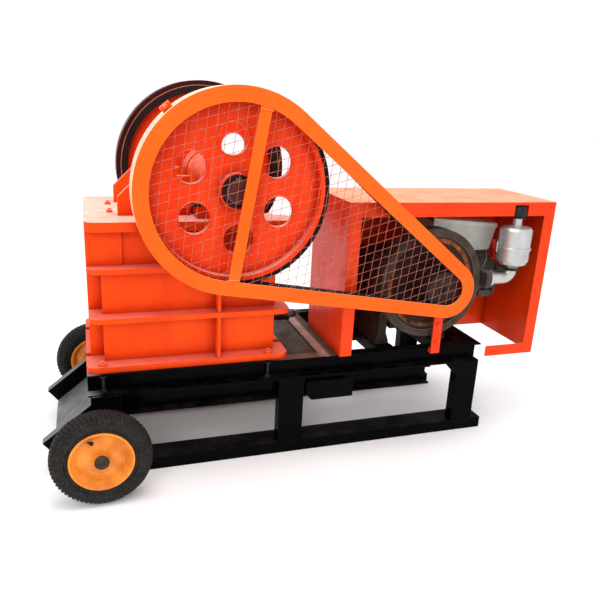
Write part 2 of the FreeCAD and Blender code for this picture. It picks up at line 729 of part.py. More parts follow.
def loop_face(centre_a, radius_a, centre_b, radius_b):
    """The flat area inside a band round two circles."""
    up_a, far_a, low_a, low_b, far_b, up_b = loop_points(centre_a, radius_a, centre_b, radius_b)
    edges = [Part.Arc(up_a, far_a, low_a).toShape(), Part.LineSegment(low_a, low_b).toShape(),
             Part.Arc(low_b, far_b, up_b).toShape(), Part.LineSegment(up_b, up_a).toShape()]
    return Part.Face(Part.Wire(edges))


def guard_circles(inset=0.0, depth=0.0):
    """The guard outline's two centres and radii, drawn in by an inset."""
    y = -size("guard_front") + depth
    big = Vector(size("shaft_place"), y, size("shaft_height") - size("guard_drop"))
    small = Vector(size("engine_place"), y, size("engine_height") + size("guard_drop") + 2)
    return (big, size("guard_radius") - inset, small, size("guard_end_radius") - inset)


def guard_ring(inset_in, depth, thickness, inset_out=0.0):
    """A flat or deep ring between two insets of the guard's outline."""
    outer = loop_face(*guard_circles(inset_out, depth))
    inner = loop_face(*guard_circles(inset_in, depth))
    return outer.cut(inner).extrude(Vector(0, thickness, 0))


def make_guard():
    """The guard's flat front ring, its edge sheet, its brace and the post under it."""
    sheet_thick = size("guard_sheet")
    frame = shape_part("guard_frame", guard_ring(size("guard_bar"), 0.0, sheet_thick))
    shape_part("guard_band", guard_ring(sheet_thick, sheet_thick,
                                        size("guard_depth") - sheet_thick))
    top = "shaft_height - guard_drop + guard_radius - guard_bar"
    low = "shaft_height - guard_drop - guard_radius + guard_bar"
    half = "brace_width / 2"
    brace = prism("XZ_Plane", [
        (f"brace_bottom_place - {half}", f"{low} - 20"),
        (f"brace_bottom_place + {half}", f"{low} - 20"),
        (f"brace_top_place + {half}", f"{top} + 12"), (f"brace_top_place - {half}", f"{top} + 12"),
    ], "-guard_front", "guard_sheet")
    name_part(cut(brace, frame), "guard_brace")
    bottom = "deck_top - post_drop"
    small_low = "engine_height + guard_drop + 2 - guard_end_radius"
    back = "guard_depth - guard_front"
    post = box(("post_place", f"{back} - steel_wall", bottom),
               ("post_width", "steel_wall", f"{small_low} + 1.2 - ({bottom})"))
    foot = box(("post_place", back, bottom), ("post_width", f"-({back})", "post_drop"))
    brackets = [box((start, back, low), ("bracket_width", f"body_front - ({back})", "bracket_thick"))
                for start, low in (("bracket_upper_place", "body_top - top_flange + 2"),
                                   ("bracket_lower_place", "upper_rib_top - rib_thick"))]
    name_part(group(fuse(post, foot), *brackets), "guard_supports")


def make_guard_mesh():
    """The guard's two layers of straight wires, each cut to the opening it crosses."""
    wire = size("mesh_wire")
    pitch = size("mesh_pitch")
    inset = size("guard_bar") - 6
    opening = loop_face(*guard_circles(inset, size("guard_sheet") + 0.2))
    centre = opening.BoundBox.Center
    reach = opening.BoundBox.DiagonalLength
    wires = []
    for layer, angle in enumerate(("mesh_rise", "mesh_lean")):
        turn = math.radians(size(angle))
        along = Vector(math.cos(turn), 0, math.sin(turn))
        aside = Vector(-along.z, 0, along.x)
        depth = layer * (wire + 0.3)
        half_count = int(reach / 2 / pitch)
        for step in range(-half_count, half_count + 1):
            middle = centre + aside * (step * pitch)
            strip = mesh_strip(middle, along, aside, reach, wire)
            for piece in opening.common(strip).Faces:
                if piece.Area > 40 * wire:
                    wires.append(piece.extrude(Vector(0, wire, 0)).translated(
                        Vector(0, depth, 0)))
    shape_part("guard_mesh", Part.makeCompound(wires))


def mesh_strip(middle, along, aside, reach, wire):
    """The flat strip that one wire covers before it is cut to the opening."""
    side = aside * (wire / 2)
    end = along * (reach / 2)
    corners = [middle - end - side, middle + end - side, middle + end + side,
               middle - end + side]
    return Part.Face(Part.makePolygon(corners + corners[:1]))


def make_belts():
    """The V-belts, each one fixed loop in a pair of facing grooves."""
    gap = size("belt_gap")
    floor = size("groove_depth") - gap
    centre_a = Vector(size("shaft_place"), 0, size("shaft_height"))
    centre_b = Vector(size("engine_place"), 0, size("engine_height"))
    radius_a = size("pulley_radius") - floor
    radius_b = size("engine_pulley_radius") - floor
    thick = size("groove_depth") - 1.5
    width = size("groove_width") - 4 - 2 * gap
    first = (size("pulley_width") - (size("groove_count") - 1) * size("groove_pitch")) / 2
    outer = loop_face(centre_a, radius_a + thick, centre_b, radius_b + thick)
    inner = loop_face(centre_a, radius_a, centre_b, radius_b)
    loop = outer.cut(inner)
    belts = []
    for groove in range(int(size("groove_count"))):
        start = -size("pulley_front") + first + groove * size("groove_pitch") - width / 2
        belt = loop.extrude(Vector(0, width, 0)).translated(Vector(0, start, 0))
        belts.append(belt)
    shape_part("drive_belts", Part.makeCompound(belts))


# ---------------------------------------------------------------- engine

def make_engine_rotor():
    """The engine's heavy flywheel, and its crankshaft with the small grooved pulley."""
    bore = "engine_shaft_radius + fit_gap"
    inner = "engine_wheel_radius - engine_rim"
    points = [
        ("engine_wheel_radius", "0"), ("engine_wheel_radius", "engine_wheel_width"),
        (bore, "engine_wheel_width"), (bore, "14"), (inner, "14"), (inner, "0"),
    ]
    spot = ("engine_place", "engine_wheel_front", "engine_height")
    name_part(turned(points, spot), "engine_flywheel")
    core = "engine_shaft_radius - 5"
    pulley = grooved_rim("engine_pulley_radius", "pulley_width") + [
        (core, "pulley_width"), (core, "0")]
    wheel = turned(pulley, ("engine_place", "-pulley_front", "engine_height"))
    crankshaft = cylinder(("engine_place", "-(pulley_front + 6)", "engine_height"),
                          "engine_shaft_radius", "pulley_front + 6 + block_front + 60", "Y")
    name_part(fuse(wheel, crankshaft), "engine_pulley")


def make_engine_block():
    """The crankcase and its sump, bored for the crankshaft."""
    length = "block_end - block_start"
    depth = "block_back - block_front"
    case = box(("block_start", "block_front", "block_bottom"),
               (length, depth, "block_top - block_bottom"))
    sump_start = "foot_near + foot_width + 12"
    sump = box((sump_start, "block_front + 20", "sump_bottom"),
               (f"foot_far - 12 - ({sump_start})", f"{depth} - 40", "block_bottom - sump_bottom"))
    bore = cylinder(("engine_place", "block_front - 1", "engine_height"),
                    "engine_shaft_radius + run_gap", "61", "Y")
    name_part(cut(fuse(case, sump), bore), "engine_block")


def make_cylinder_head():
    """The cylinder and its head, lying towards the hood's far end, with the intake port."""
    barrel = box(("block_end", "block_front + 40", "head_bottom + 10"),
                 ("head_start - block_end", "block_back - block_front - 80",
                  "block_top - head_bottom - 20"))
    head = prism("XZ_Plane", [
        ("head_start", "head_bottom"), ("head_end", "head_bottom"),
        ("head_end", "block_top - head_slope"), ("head_end - head_slope - 14", "block_top"),
        ("head_start", "block_top"),
    ], "block_front + 25", "block_back - block_front - 50")
    cover = box(("head_end", "block_front + 45", "head_bottom + 20"),
                ("cover_depth", "block_back - block_front - 90",
                 "block_top - head_bottom - head_slope - 30"))
    port_front = "cleaner_depth - elbow_radius - 5"
    port = box(("head_start", port_front, "port_height - elbow_radius - 5"),
               ("port_width", f"block_front + 25 - ({port_front})", "2 * elbow_radius + 10"))
    name_part(fuse(barrel, head, cover, port), "cylinder_head")


def make_engine_feet():
    """Two tapered cross frames that carry the crankcase on the deck."""
    feet = []
    for start in ("foot_near", "foot_far"):
        end = f"{start} + foot_width"
        feet.append(prism("XZ_Plane", [
            (start, "deck_top"), (end, "deck_top"), (end, "deck_top + foot_flange"),
            (f"{end} - foot_taper", "deck_top + 4 * foot_flange"),
            (f"{end} - foot_taper", "block_bottom"), (f"{start} + foot_taper", "block_bottom"),
            (f"{start} + foot_taper", "deck_top + 4 * foot_flange"),
            (start, "deck_top + foot_flange"),
        ], "block_front", "block_back - block_front"))
    name_part(group(*feet), "engine_feet")


def make_fuel_tank():
    """The tank over the crankcase, with one sloping end."""
    points = [
        ("tank_start + 8", "tank_bottom"), ("tank_end - tank_rake - 8", "tank_bottom"),
        ("tank_end - tank_rake", "tank_bottom + 8"), ("tank_end - 3", "tank_top - tank_fall - 16"),
        ("tank_end", "tank_top - tank_fall - 14"), ("tank_end", "tank_top - tank_fall"),
        ("tank_start - 3", "tank_top"), ("tank_start - 3", "tank_top - 14"),
        ("tank_start", "tank_top - 16"), ("tank_start", "tank_bottom + 8"),
    ]
    tank = prism("XZ_Plane", points, "tank_front", "block_back - tank_front")
    straps = [box((start, "tank_front + 20", "block_top"),
                  ("30", "block_back - tank_front - 40", "tank_bottom - block_top"))
              for start in ("tank_start + 20", "block_end - 60")]
    name_part(fuse(tank, *straps), "fuel_tank")


def make_air_cleaner():
    """The round air cleaner beside the head, with its neck and cap, and the elbow below it."""
    centre = ("cleaner_place", "cleaner_depth")
    body = turned_up([
        ("0", "0"), ("cleaner_radius - 24", "0"), ("cleaner_radius - 8", "6"),
        ("cleaner_radius", "20"), ("cleaner_radius", "66"), ("cleaner_radius + 2.5", "68"),
        ("cleaner_radius + 2.5", "76"), ("cleaner_radius", "78"), ("cleaner_radius", "148"),
        ("cleaner_radius - 6", "157"), ("cleaner_radius - 30", "162"), ("neck_radius", "165"),
        ("neck_radius", "196"), ("cap_radius", "196"), ("cap_radius", "226"),
        ("cap_radius - 7", "238"), ("0", "242"),
    ], (*centre, "cleaner_bottom"))
    name_part(body, "air_cleaner")
    make_intake_elbow()


def make_intake_elbow():
    """The bent tube from under the air cleaner to the port on the cylinder head."""
    depth = size("cleaner_depth")
    top = Vector(size("cleaner_place"), depth, size("cleaner_bottom"))
    knee = Vector(top.x, depth, size("port_height"))
    flange_thick = size("elbow_flange")
    port = Vector(size("head_start") + size("port_width"), depth, knee.z)
    knee_in, knee_mid, knee_out = bend_points(top, knee, port, size("elbow_bend"))
    route = Part.Wire([
        Part.LineSegment(top, knee_in).toShape(),
        Part.Arc(knee_in, knee_mid, knee_out).toShape(),
        Part.LineSegment(knee_out, port).toShape(),
    ])
    mouth = Part.Wire([Part.Circle(top, Vector(0, 0, -1), size("elbow_radius")).toShape()])
    tube = route.makePipeShell([mouth], True, True)
    flange = Part.makeCylinder(size("elbow_radius") + 9, flange_thick, port, Vector(1, 0, 0))
    shape_part("intake_elbow", tube.fuse(flange))


def bend_points(before, corner, after, radius):
    """Where a square bend of one radius starts, its middle, and where it ends."""
    back = (before - corner).normalize()
    ahead = (after - corner).normalize()
    middle = corner + (back + ahead) * (radius * (1 - math.sqrt(0.5)))
    return corner + back * radius, middle, corner + ahead * radius


def turned_up(points, spot):
    """A round body about an upright axis at spot: points are (radius, height)."""
    body = doc.addObject("PartDesign::Body", "Turned")
    sketch = outline_sketch(body, "XZ_Plane", points)
    revolution = body.newObject("PartDesign::Revolution", "Revolution")
    revolution.Profile = sketch
    revolution.ReferenceAxis = (sketch, ["V_Axis"])
    revolution.Angle = 360
    place(body, spot)
    return body


# ---------------------------------------------------------------- hood

def make_hood():
    """The sheet hood over the engine: open in front and below, its far end overhanging."""
    front = "-hood_front"
    wall = "hood_sheet"
    left = box(("hood_start", front, "deck_top"), (wall, "hood_depth", "hood_top - deck_top"))
    name_part(left, "hood_left")
    right = box((f"hood_end - {wall}", front, "hood_low"),
                (wall, "hood_depth", "hood_top - hood_low"))
    name_part(right, "hood_right")
    roof = box((f"hood_start + {wall}", front, f"hood_top - {wall}"),
               (f"hood_end - hood_start - 2 * {wall}", "hood_depth", wall))
    name_part(roof, "hood_roof")
    back_y = f"hood_depth - hood_front - {wall}"
    over_deck = box((f"hood_start + {wall}", back_y, "deck_top"),
                    (f"hood_end - hood_start - 2 * {wall}", wall,
                     f"hood_top - {wall} - deck_top"))
    overhang = box(("deck_length + 2", back_y, "hood_low"),
                   (f"hood_end - {wall} - deck_length - 2", wall, "deck_top - hood_low"))
    name_part(fuse(over_deck, overhang), "hood_back")
    make_hood_lips(front, wall)


def make_hood_lips(front, wall):
    """The flat lips folded round the hood's open front, notched for the air cleaner's cap."""
    inner_start = f"hood_start + {wall}"
    inner_end = f"hood_end - {wall}"
    roof_under = f"hood_top - {wall}"
    top = box((inner_start, front, f"hood_top - lip_top"),
              (f"{inner_end} - ({inner_start})", wall, f"{roof_under} - (hood_top - lip_top)"))
    side = box((f"{inner_end} - lip_side", front, "hood_low"),
               ("lip_side", wall, f"{roof_under} - hood_low"))
    near = box((inner_start, front, "deck_top"),
               ("lip_side", wall, f"{roof_under} - deck_top"))
    low = box(("deck_length + 16", front, "hood_low"),
              (f"{inner_end} - deck_length - 16", wall, "lip_low"))
    notch_half = "(cap_radius + 6)"
    notch = box((f"cleaner_place - {notch_half}", f"{front} - 1", "hood_top - lip_top - 1"),
                (f"2 * {notch_half}", f"{wall} + 2", "lip_top - 11"))
    name_part(cut(fuse(top, side, near, low), notch), "hood_lips")


# ---------------------------------------------------------------- build and export

def build():
    """Makes every sub-part."""
    make_skid_frame()
    make_legs()
    make_deck_beams()
    make_support_rails()
    make_cross_members()
    make_deck_plate()
    make_hanger_plate()
    make_axle()
    make_wheel("front", "-(wheel_gap + tyre_width / 2)")
    make_wheel("back", "deck_width + wheel_gap + tyre_width / 2")
    make_chute()
    side_wall("side_wall_front", True)
    side_wall("side_wall_back", False)
    make_end_walls()
    make_jaw_plates()
    make_swing_jaw()
    make_toggle()
    make_tension_rod()
    make_bearings()
    make_shaft()
    make_drive_pulley()
    make_flywheel()
    make_guard()
    make_guard_mesh()
    make_belts()
    make_engine_rotor()
    make_engine_block()
    make_cylinder_head()
    make_engine_feet()
    make_fuel_tank()
    make_air_cleaner()
    make_hood()


def export():
    """Checks every object and writes each sub-part's shape to its own file."""
    doc.recompute()
    for item in doc.Objects:
        if "Invalid" in item.State or "Error" in item.State:
            raise RuntimeError(f"{item.Name} ({item.Label}) failed: {item.State}")
    os.makedirs("parts", exist_ok=True)
    for label in LABELS:
        item = doc.getObjectsByLabel(label)[0]
        shape = item.Shape
        if shape.isNull() or not shape.isValid():
            raise RuntimeError(f"{label} has no valid shape")
        shape.exportStep(f"parts/{label}.step")
        print(label, len(shape.Solids), round(shape.Volume))


build()
export()
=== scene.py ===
"""Looks for the jaw crusher: procedural finishes, fasteners, tread, welds and small fittings."""

import math
import random

import bmesh
import bpy
from mathutils import Matrix, Vector


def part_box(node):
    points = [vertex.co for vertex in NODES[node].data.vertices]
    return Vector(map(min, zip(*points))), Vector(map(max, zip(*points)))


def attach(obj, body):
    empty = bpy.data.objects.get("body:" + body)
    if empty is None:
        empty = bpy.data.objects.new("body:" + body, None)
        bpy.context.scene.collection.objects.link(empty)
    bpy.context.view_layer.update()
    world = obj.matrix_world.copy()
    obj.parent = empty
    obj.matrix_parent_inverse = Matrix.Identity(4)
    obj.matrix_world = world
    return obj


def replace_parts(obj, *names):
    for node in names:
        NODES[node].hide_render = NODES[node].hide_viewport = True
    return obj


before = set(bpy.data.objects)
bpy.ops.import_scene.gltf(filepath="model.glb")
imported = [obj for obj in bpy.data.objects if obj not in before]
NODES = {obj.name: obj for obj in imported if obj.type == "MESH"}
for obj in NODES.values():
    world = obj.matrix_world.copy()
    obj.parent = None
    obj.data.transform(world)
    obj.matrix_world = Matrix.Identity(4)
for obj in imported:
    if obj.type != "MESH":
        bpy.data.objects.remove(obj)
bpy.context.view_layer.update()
BASE = "machine_frame"
ROTOR = "crusher_rotor"
ENGINE = "engine_rotor"
X, Y, Z = Vector((1, 0, 0)), Vector((0, 1, 0)), Vector((0, 0, 1))


def low(node):
    """A node's lowest corner."""
    return Vector(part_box(node)[0])


def high(node):
    """A node's highest corner."""
    return Vector(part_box(node)[1])


def middle(node):
    """The middle of a node's box."""
    return (low(node) + high(node)) / 2


SHAFT = middle("eccentric_shaft")
CRANK = middle("engine_flywheel")
DECK = high("deck_beams")
MACHINE_Y = DECK.y / 2
POST_X = 1.362
SOFT_ANGLE, SHARP_ANGLE = math.radians(38), math.radians(35)


# ---------------- camera and light

def place(name, data):
    """A new object in the scene."""
    item = bpy.data.objects.new(name, data)
    bpy.context.collection.objects.link(item)
    return item


def make_camera():
    """The camera at the photograph's viewing angle."""
    yaw, pitch, roll = 0.3362, 0.3101, 0.0526
    spot = (0.029, -2.1163, 1.3612)
    ahead = Vector((math.sin(yaw) * math.cos(pitch), math.cos(yaw) * math.cos(pitch),
                    -math.sin(pitch)))
    side = Vector((math.cos(yaw), -math.sin(yaw), 0))
    up = side.cross(ahead)
    tilted_side = math.cos(roll) * side + math.sin(roll) * up
    tilted_up = -math.sin(roll) * side + math.cos(roll) * up
    data = bpy.data.cameras.new("Camera")
    data.sensor_width = 36
    data.lens = 37.72
    data.clip_start, data.clip_end = 0.05, 60
    camera = place("Camera", data)
    turn = Matrix((tilted_side, tilted_up, -ahead)).transposed().to_4x4()
    camera.matrix_world = Matrix.Translation(spot) @ turn
    bpy.context.scene.camera = camera


def area_light(name, spot, target, across, power):
    """A soft square light that faces a target."""
    data = bpy.data.lights.new(name, "AREA")
    data.size = across
    data.energy = power
    lamp = place(name, data)
    lamp.location = spot
    lamp.rotation_euler = (Vector(target) - Vector(spot)).to_track_quat("-Z", "Y").to_euler()


def make_studio():
    """A plain pale floor and plain soft light, brightest from above."""
    mesh = bpy.data.meshes.new("floor")
    reach = 30.0
    mesh.from_pydata([(-reach, -reach, 0), (reach, -reach, 0), (reach, reach, 0),
                      (-reach, reach, 0)], [], [(0, 1, 2, 3)])
    floor = place("floor", mesh)
    floor.location = (0.8, 0.3, -0.001)
    pale = bpy.data.materials.new("floor_white")
    pale.use_nodes = True
    shader = pale.node_tree.nodes["Principled BSDF"]
    for socket, value in (("Base Color", (0.985, 0.985, 0.985, 1)), ("Roughness", 0.9),
                          ("Specular IOR Level", 0.05)):
        shader.inputs[socket].default_value = value
    mesh.materials.append(pale)
    world = bpy.data.worlds.new("studio")
    world.use_nodes = True
    sky = world.node_tree.nodes["Background"]
    sky.inputs["Color"].default_value = (1, 1, 1, 1)
    sky.inputs["Strength"].default_value = 1.03
    bpy.context.scene.world = world
    area_light("overhead", (0.5, -0.3, 3.6), (0.8, 0.3, 0.5), 2.2, 62)
    area_light("key", (-1.3, -3.0, 2.6), (0.6, 0.2, 0.7), 1.2, 30)
    area_light("front", (2.8, -3.2, 1.4), (1.2, 0.2, 0.6), 1.4, 8)
    view = bpy.context.scene.view_settings
    view.view_transform = "Standard"
    view.look = "None"


# ---------------- finishes

class Finish:
    """One procedural material while its nodes are wired up."""

    def __init__(self, name):
        self.name = name
        self.material = bpy.data.materials.new(f"{name}_finish")
        self.material.use_nodes = True
        self.tree = self.material.node_tree
        self.shader = self.tree.nodes["Principled BSDF"]
        self.spot = self.add("ShaderNodeTexCoord")

    def add(self, kind, inputs=None, **settings):
        """Adds a node, sets its plain properties and feeds its sockets."""
        node = self.tree.nodes.new(kind)
        for key, value in settings.items():
            setattr(node, key, value)
        for socket, value in (inputs or {}).items():
            self.feed(node.inputs[socket], value)
        return node

    def feed(self, socket, value):
        """Links a socket to a socket, or sets it to a plain value."""
        if isinstance(value, bpy.types.NodeSocket):
            self.tree.links.new(value, socket)
        elif isinstance(value, (tuple, list)) and len(value) == 3 and len(
                socket.default_value) == 4:
            socket.default_value = (*value, 1)
        else:
            socket.default_value = value

    def sum(self, operation, a, b):
        """One step of arithmetic."""
        return self.add("ShaderNodeMath", {0: a, 1: b}, operation=operation).outputs[0]

    def times(self, value, *factors):
        """A product."""
        for factor in factors:
            value = self.sum("MULTIPLY", value, factor)
        return value

    def ramp(self, value, start, end, out_start=0.0, out_end=1.0):
        """A value stretched between two limits and clamped."""
        inputs = dict(enumerate((value, start, end, out_start, out_end)))
        return self.add("ShaderNodeMapRange", inputs).outputs[0]

    def noise(self, scale, detail=4.0, rough=0.55, stretch=(1, 1, 1), shift=(0, 0, 0)):
        """Noise in the object's own space, 0 to 1 about 0.5."""
        moved = self.add("ShaderNodeMapping", {
            "Vector": self.spot.outputs["Object"], "Scale": stretch, "Location": shift})
        return self.add("ShaderNodeTexNoise", {
            "Vector": moved.outputs[0], "Scale": scale, "Detail": detail,
            "Roughness": rough}).outputs["Fac"]

    def spots(self, limits, *look, **shift):
        """Noise stretched between limits: its start and end, and any range other than 0 to 1."""
        return self.ramp(self.noise(*look, **shift), *limits)

    def cells(self, scale):
        """Cell noise, for pits and grains."""
        return self.add("ShaderNodeTexVoronoi", {
            "Vector": self.spot.outputs["Object"], "Scale": scale}).outputs["Distance"]

    def blend(self, under, over, *shares):
        """A colour laid over another; the shares multiply to its cover."""
        return self.add("ShaderNodeMix", {0: self.times(*shares), 6: under, 7: over},
                        data_type="RGBA").outputs[2]

    def axis(self, letter, kind="Object"):
        """One part of the place in object space, or of the normal."""
        node = self.add("ShaderNodeSeparateXYZ", {0: self.spot.outputs[kind]})
        return node.outputs["XYZ".index(letter)]

    def facing_up(self):
        """1 on faces that look straight up, 0 on upright ones."""
        return self.ramp(self.axis("Z", "Normal"), 0.25, 0.95)

    def facing_left(self):
        """1 on faces that look to the crusher's end, 0 on the others."""
        return self.ramp(self.axis("X", "Normal"), -0.05, -0.6)

    def crevice_shade(self, reach):
        """1 deep in inside corners, 0 on open faces; the mask for painted shade."""
        node = self.add("ShaderNodeAmbientOcclusion", {"Distance": reach}, samples=6)
        return self.ramp(node.outputs["AO"], 0.95, 0.35)

    def from_axle(self, spot):
        """The distance from an axis along Y."""
        way = self.spot.outputs["Object"]
        for operation, other in (("SUBTRACT", spot), ("MULTIPLY", (1, 0, 1))):
            way = self.add("ShaderNodeVectorMath", {0: way, 1: other},
                           operation=operation).outputs[0]
        return self.add("ShaderNodeVectorMath", {0: way}, operation="LENGTH").outputs["Value"]

    def bump(self, *layers):
        """Surface relief: pairs of a height and its depth in metres."""
        below = {}
        for height, depth in layers:
            node = self.add("ShaderNodeBump", {"Distance": depth, "Height": height, **below})
            below = {"Normal": node.outputs[0]}
        self.feed(self.shader.inputs["Normal"], below["Normal"])

    def finish(self, colour, rough, metal=0.0, coat=0.0, specular=0.5):
        """Wires the colour and roughness in and keeps the material by name."""
        for socket, value in (("Base Color", colour), ("Roughness", rough),
                              ("Metallic", metal), ("Coat Weight", coat),
                              ("Coat Roughness", 0.15), ("Specular IOR Level", specular)):
            self.feed(self.shader.inputs[socket], value)
        FINISHES[self.name] = self.material


def paint(name, colour, deep, top_light_and_dust, rough, coat=0.0, cast=False, chips=0.7, top_light_and_dust_share=0.85,
          left=False):
    """Brushed-on machine paint: drifts of tone, runs, painted shade in crevices, painted top light
    with patchy dust on upward faces, dust, chips and casting skin.
    """
    f = Finish(name)
    drift = f.spots((0.36, 0.68), 2.6, 4)
    runs = f.spots((0.42, 0.72), 1.0, 4, 0.55, (22, 22, 1.6))
    tone = f.blend(colour, deep, drift, 0.55)
    tone = f.blend(tone, deep, runs, 0.3)
    light = f.spots((0.48, 0.74), 2.1, 5, 0.6, shift=(9, 4, 2))
    tone = f.blend(tone, (1.0, colour[1] * (1.9 if cast else 1.2), 0.012), light, 0.4)
    # Painted shade: inside corners and seams darken to deep red.
    tone = f.blend(tone, (0.42, 0.012, 0.001), f.crevice_shade(0.045), 0.85)
    # Painted top light with patchy dust: upward faces, and with left also the faces towards the
    # crusher's end, blend to a pale tone.
    up = f.facing_up()
    if left:
        up = f.sum("MAXIMUM", up, f.facing_left())
    patchy = f.spots((0.25, 0.6, 0.55, 1.0), 7, 6, 0.65)
    # On castings the painted top light grows up the body and eases off at the very top.
    if cast:
        height = f.axis("Z")
        top_light_and_dust_share = f.times(f.ramp(height, 0.8, 0.93, 0.32 * top_light_and_dust_share, top_light_and_dust_share),
                       f.ramp(height, 0.945, 0.985, 1.0, 0.35))
    tone = f.blend(tone, top_light_and_dust, up, patchy, top_light_and_dust_share)
    grime = f.spots((0.58, 0.8), 11, 8, 0.7, (1, 1, 0.6), (3, 1, 5))
    tone = f.blend(tone, DUST, grime, 0.22)
    chip = f.spots((chips, chips + 0.02), 42, 6, 0.7, shift=(7, 2, 9))
    tone = f.blend(tone, DUST, chip)
    dull = f.spots((0.3, 0.75, rough - 0.08, rough + 0.16), 9, 5)
    dull = f.sum("MAXIMUM", dull, f.times(up, 0.5))
    layers = [(f.times(chip, -1.0), 0.0006), (runs, 0.0005)]
    if cast:
        layers += [(f.noise(95, 3, 0.5), 0.0012), (f.noise(14, 3), 0.005)]
    else:
        layers += [(f.noise(5, 2), 0.004), (f.noise(260, 2), 0.0002)]
    f.bump(*layers)
    f.finish(tone, dull, coat=coat, specular=0.1)


def wheel_paint(name, web, bands):
    """A cast wheel whose painted web, bare rim and hub differ by radius."""
    f = Finish(name)
    reach = f.from_axle(SHAFT)
    drift = f.spots((0.35, 0.7), 4, 5, 0.6)
    streak = f.spots((0.42, 0.72), 1.0, 4, 0.6, (26, 26, 2))
    tone = f.blend(web, (0.62, 0.025, 0.002), drift, 0.5)
    tone = f.blend(tone, (0.98, 0.14, 0.03), streak, 0.25)
    # Painted top light with dust: upward faces lighten to pale cream.
    up = f.facing_up()
    tone = f.blend(tone, (1.0, 0.5, 0.38), up, 0.8)
    # Painted shade: inside corners darken to deep red.
    tone = f.blend(tone, (0.3, 0.006, 0.001), f.crevice_shade(0.04), 0.7)
    edge = f.sum("ADD", reach, f.times(f.noise(40, 4), 0.003))
    for start, end, band in bands:
        inside = f.times(f.ramp(edge, start + 0.001, start + 0.002),
                         f.ramp(edge, end + 0.002, end + 0.001))
        mottled = f.blend(band, tuple(part * 0.45 for part in band), drift)
        tone = f.blend(tone, mottled, inside)
    chip = f.spots((0.68, 0.7), 48, 6, 0.7)
    tone = f.blend(tone, (0.12, 0.04, 0.02), chip)
    f.bump((f.noise(90, 3), 0.0012), (f.times(chip, -1.0), 0.0006))
    f.finish(tone, f.spots((0.3, 0.7, 0.32, 0.5), 12, 4), specular=0.1)


def skid_paint():
    """Glossy black enamel on rolled steel, with dust on the flats, scuffs, brush marks and a
    painted highlight on the top faces at the left end.
    """
    f = Finish("skid")
    drift = f.spots((0.3, 0.7), 6, 5)
    tone = f.blend((0.0006, 0.0006, 0.0008), (0.0025, 0.0022, 0.0022), drift)
    rub = f.spots((0.62, 0.74), 1.0, 6, 0.7, (3, 60, 60))
    tone = f.blend(tone, (0.035, 0.032, 0.03), rub, 0.3)
    up = f.facing_up()
    dusty = f.spots((0.42, 0.68), 13, 7, 0.7)
    tone = f.blend(tone, (0.1, 0.075, 0.06), up, dusty, 0.16)
    along = f.axis("X")
    by_cross = f.times(f.ramp(along, 0.862, 0.868), f.ramp(along, 0.912, 0.898), up)
    worn = f.blend((0.85, 0.68, 0.63), (0.42, 0.29, 0.25), f.spots((0.35, 0.65), 30, 7, 0.7))
    on_deck = f.ramp(f.axis("Z"), DECK.z - 0.012, DECK.z - 0.006)
    tone = f.blend(tone, worn, by_cross, on_deck)
    by_body = f.times(f.ramp(along, 0.66, 0.72), f.ramp(along, 0.99, 0.86), up, on_deck)
    scuffed = f.blend((0.2, 0.13, 0.1), (0.11, 0.07, 0.055), dusty)
    tone = f.blend(tone, scuffed, by_body, 0.9)
    # Painted highlight: upward faces at the skid's left end lighten to grey.
    tone = f.blend(tone, (0.3, 0.29, 0.28), f.ramp(along, 0.05, 0.0), up, 0.75)
    dull = f.spots((0.3, 0.7, 0.16, 0.34), 20, 5)
    dull = f.sum("MAXIMUM", dull, f.times(up, 0.55))
    f.bump((f.noise(1.0, 3, 0.5, (8, 120, 120)), 0.0005), (f.noise(18, 3), 0.0016), (rub, 0.0003))
    f.finish(tone, dull, specular=0.03)


def dirty_floor():
    """The deck's floor plate under brown grit and oil."""
    f = Finish("floor_plate")
    patch = f.spots((0.35, 0.68), 16, 8, 0.7)
    grit = f.ramp(f.cells(190), 0.1, 0.6)
    tone = f.blend((0.005, 0.003, 0.002), (0.045, 0.022, 0.012), patch)
    tone = f.blend(tone, (0.16, 0.11, 0.08), grit, 0.15)
    f.bump((grit, 0.0012), (patch, 0.003))
    f.finish(tone, f.ramp(patch, 0, 1, 0.45, 0.95))


def worn_sheet():
    """Bare sheet that stone slides on: long scratches, dull patches and rust spots, lighter grey
    towards the top.
    """
    f = Finish("chute")
    scratch = f.spots((0.35, 0.7), 1.0, 6, 0.7, (3, 60, 60))
    patch = f.spots((0.3, 0.7), 9, 7, 0.7)
    tone = f.blend((0.2, 0.2, 0.205), (0.06, 0.06, 0.06), patch)
    tone = f.blend(tone, (0.42, 0.41, 0.4), scratch, 0.35)
    # Lighter grey towards the top of the chute.
    tone = f.blend(tone, (0.5, 0.5, 0.51), f.ramp(f.axis("Z"), 0.16, 0.36, 0.0, 0.6))
    rust = f.spots((0.62, 0.75), 24, 8, 0.75, shift=(4, 4, 4))
    tone = f.blend(tone, (0.16, 0.07, 0.035), rust, 0.5)
    f.bump((scratch, 0.0004), (f.noise(120, 3), 0.0003))
    f.finish(tone, f.ramp(patch, 0, 1, 0.38, 0.62), metal=0.55)


def bare_steel(name, tone_a, tone_b, rough):
    """Turned or rolled bar with fine rings, oil film and light rust."""
    f = Finish(name)
    film = f.spots((0.35, 0.7), 20, 6, 0.7)
    tone = f.blend(tone_a, tone_b, film)
    rust = f.spots((0.6, 0.72), 55, 6, 0.7, shift=(2, 8, 1))
    tone = f.blend(tone, (0.17, 0.07, 0.03), rust, 0.6)
    f.bump((f.noise(1.0, 3, 0.5, (40, 900, 40)), 0.0002), (film, 0.0005))
    f.finish(tone, f.ramp(film, 0, 1, rough, rough + 0.25), metal=0.85)


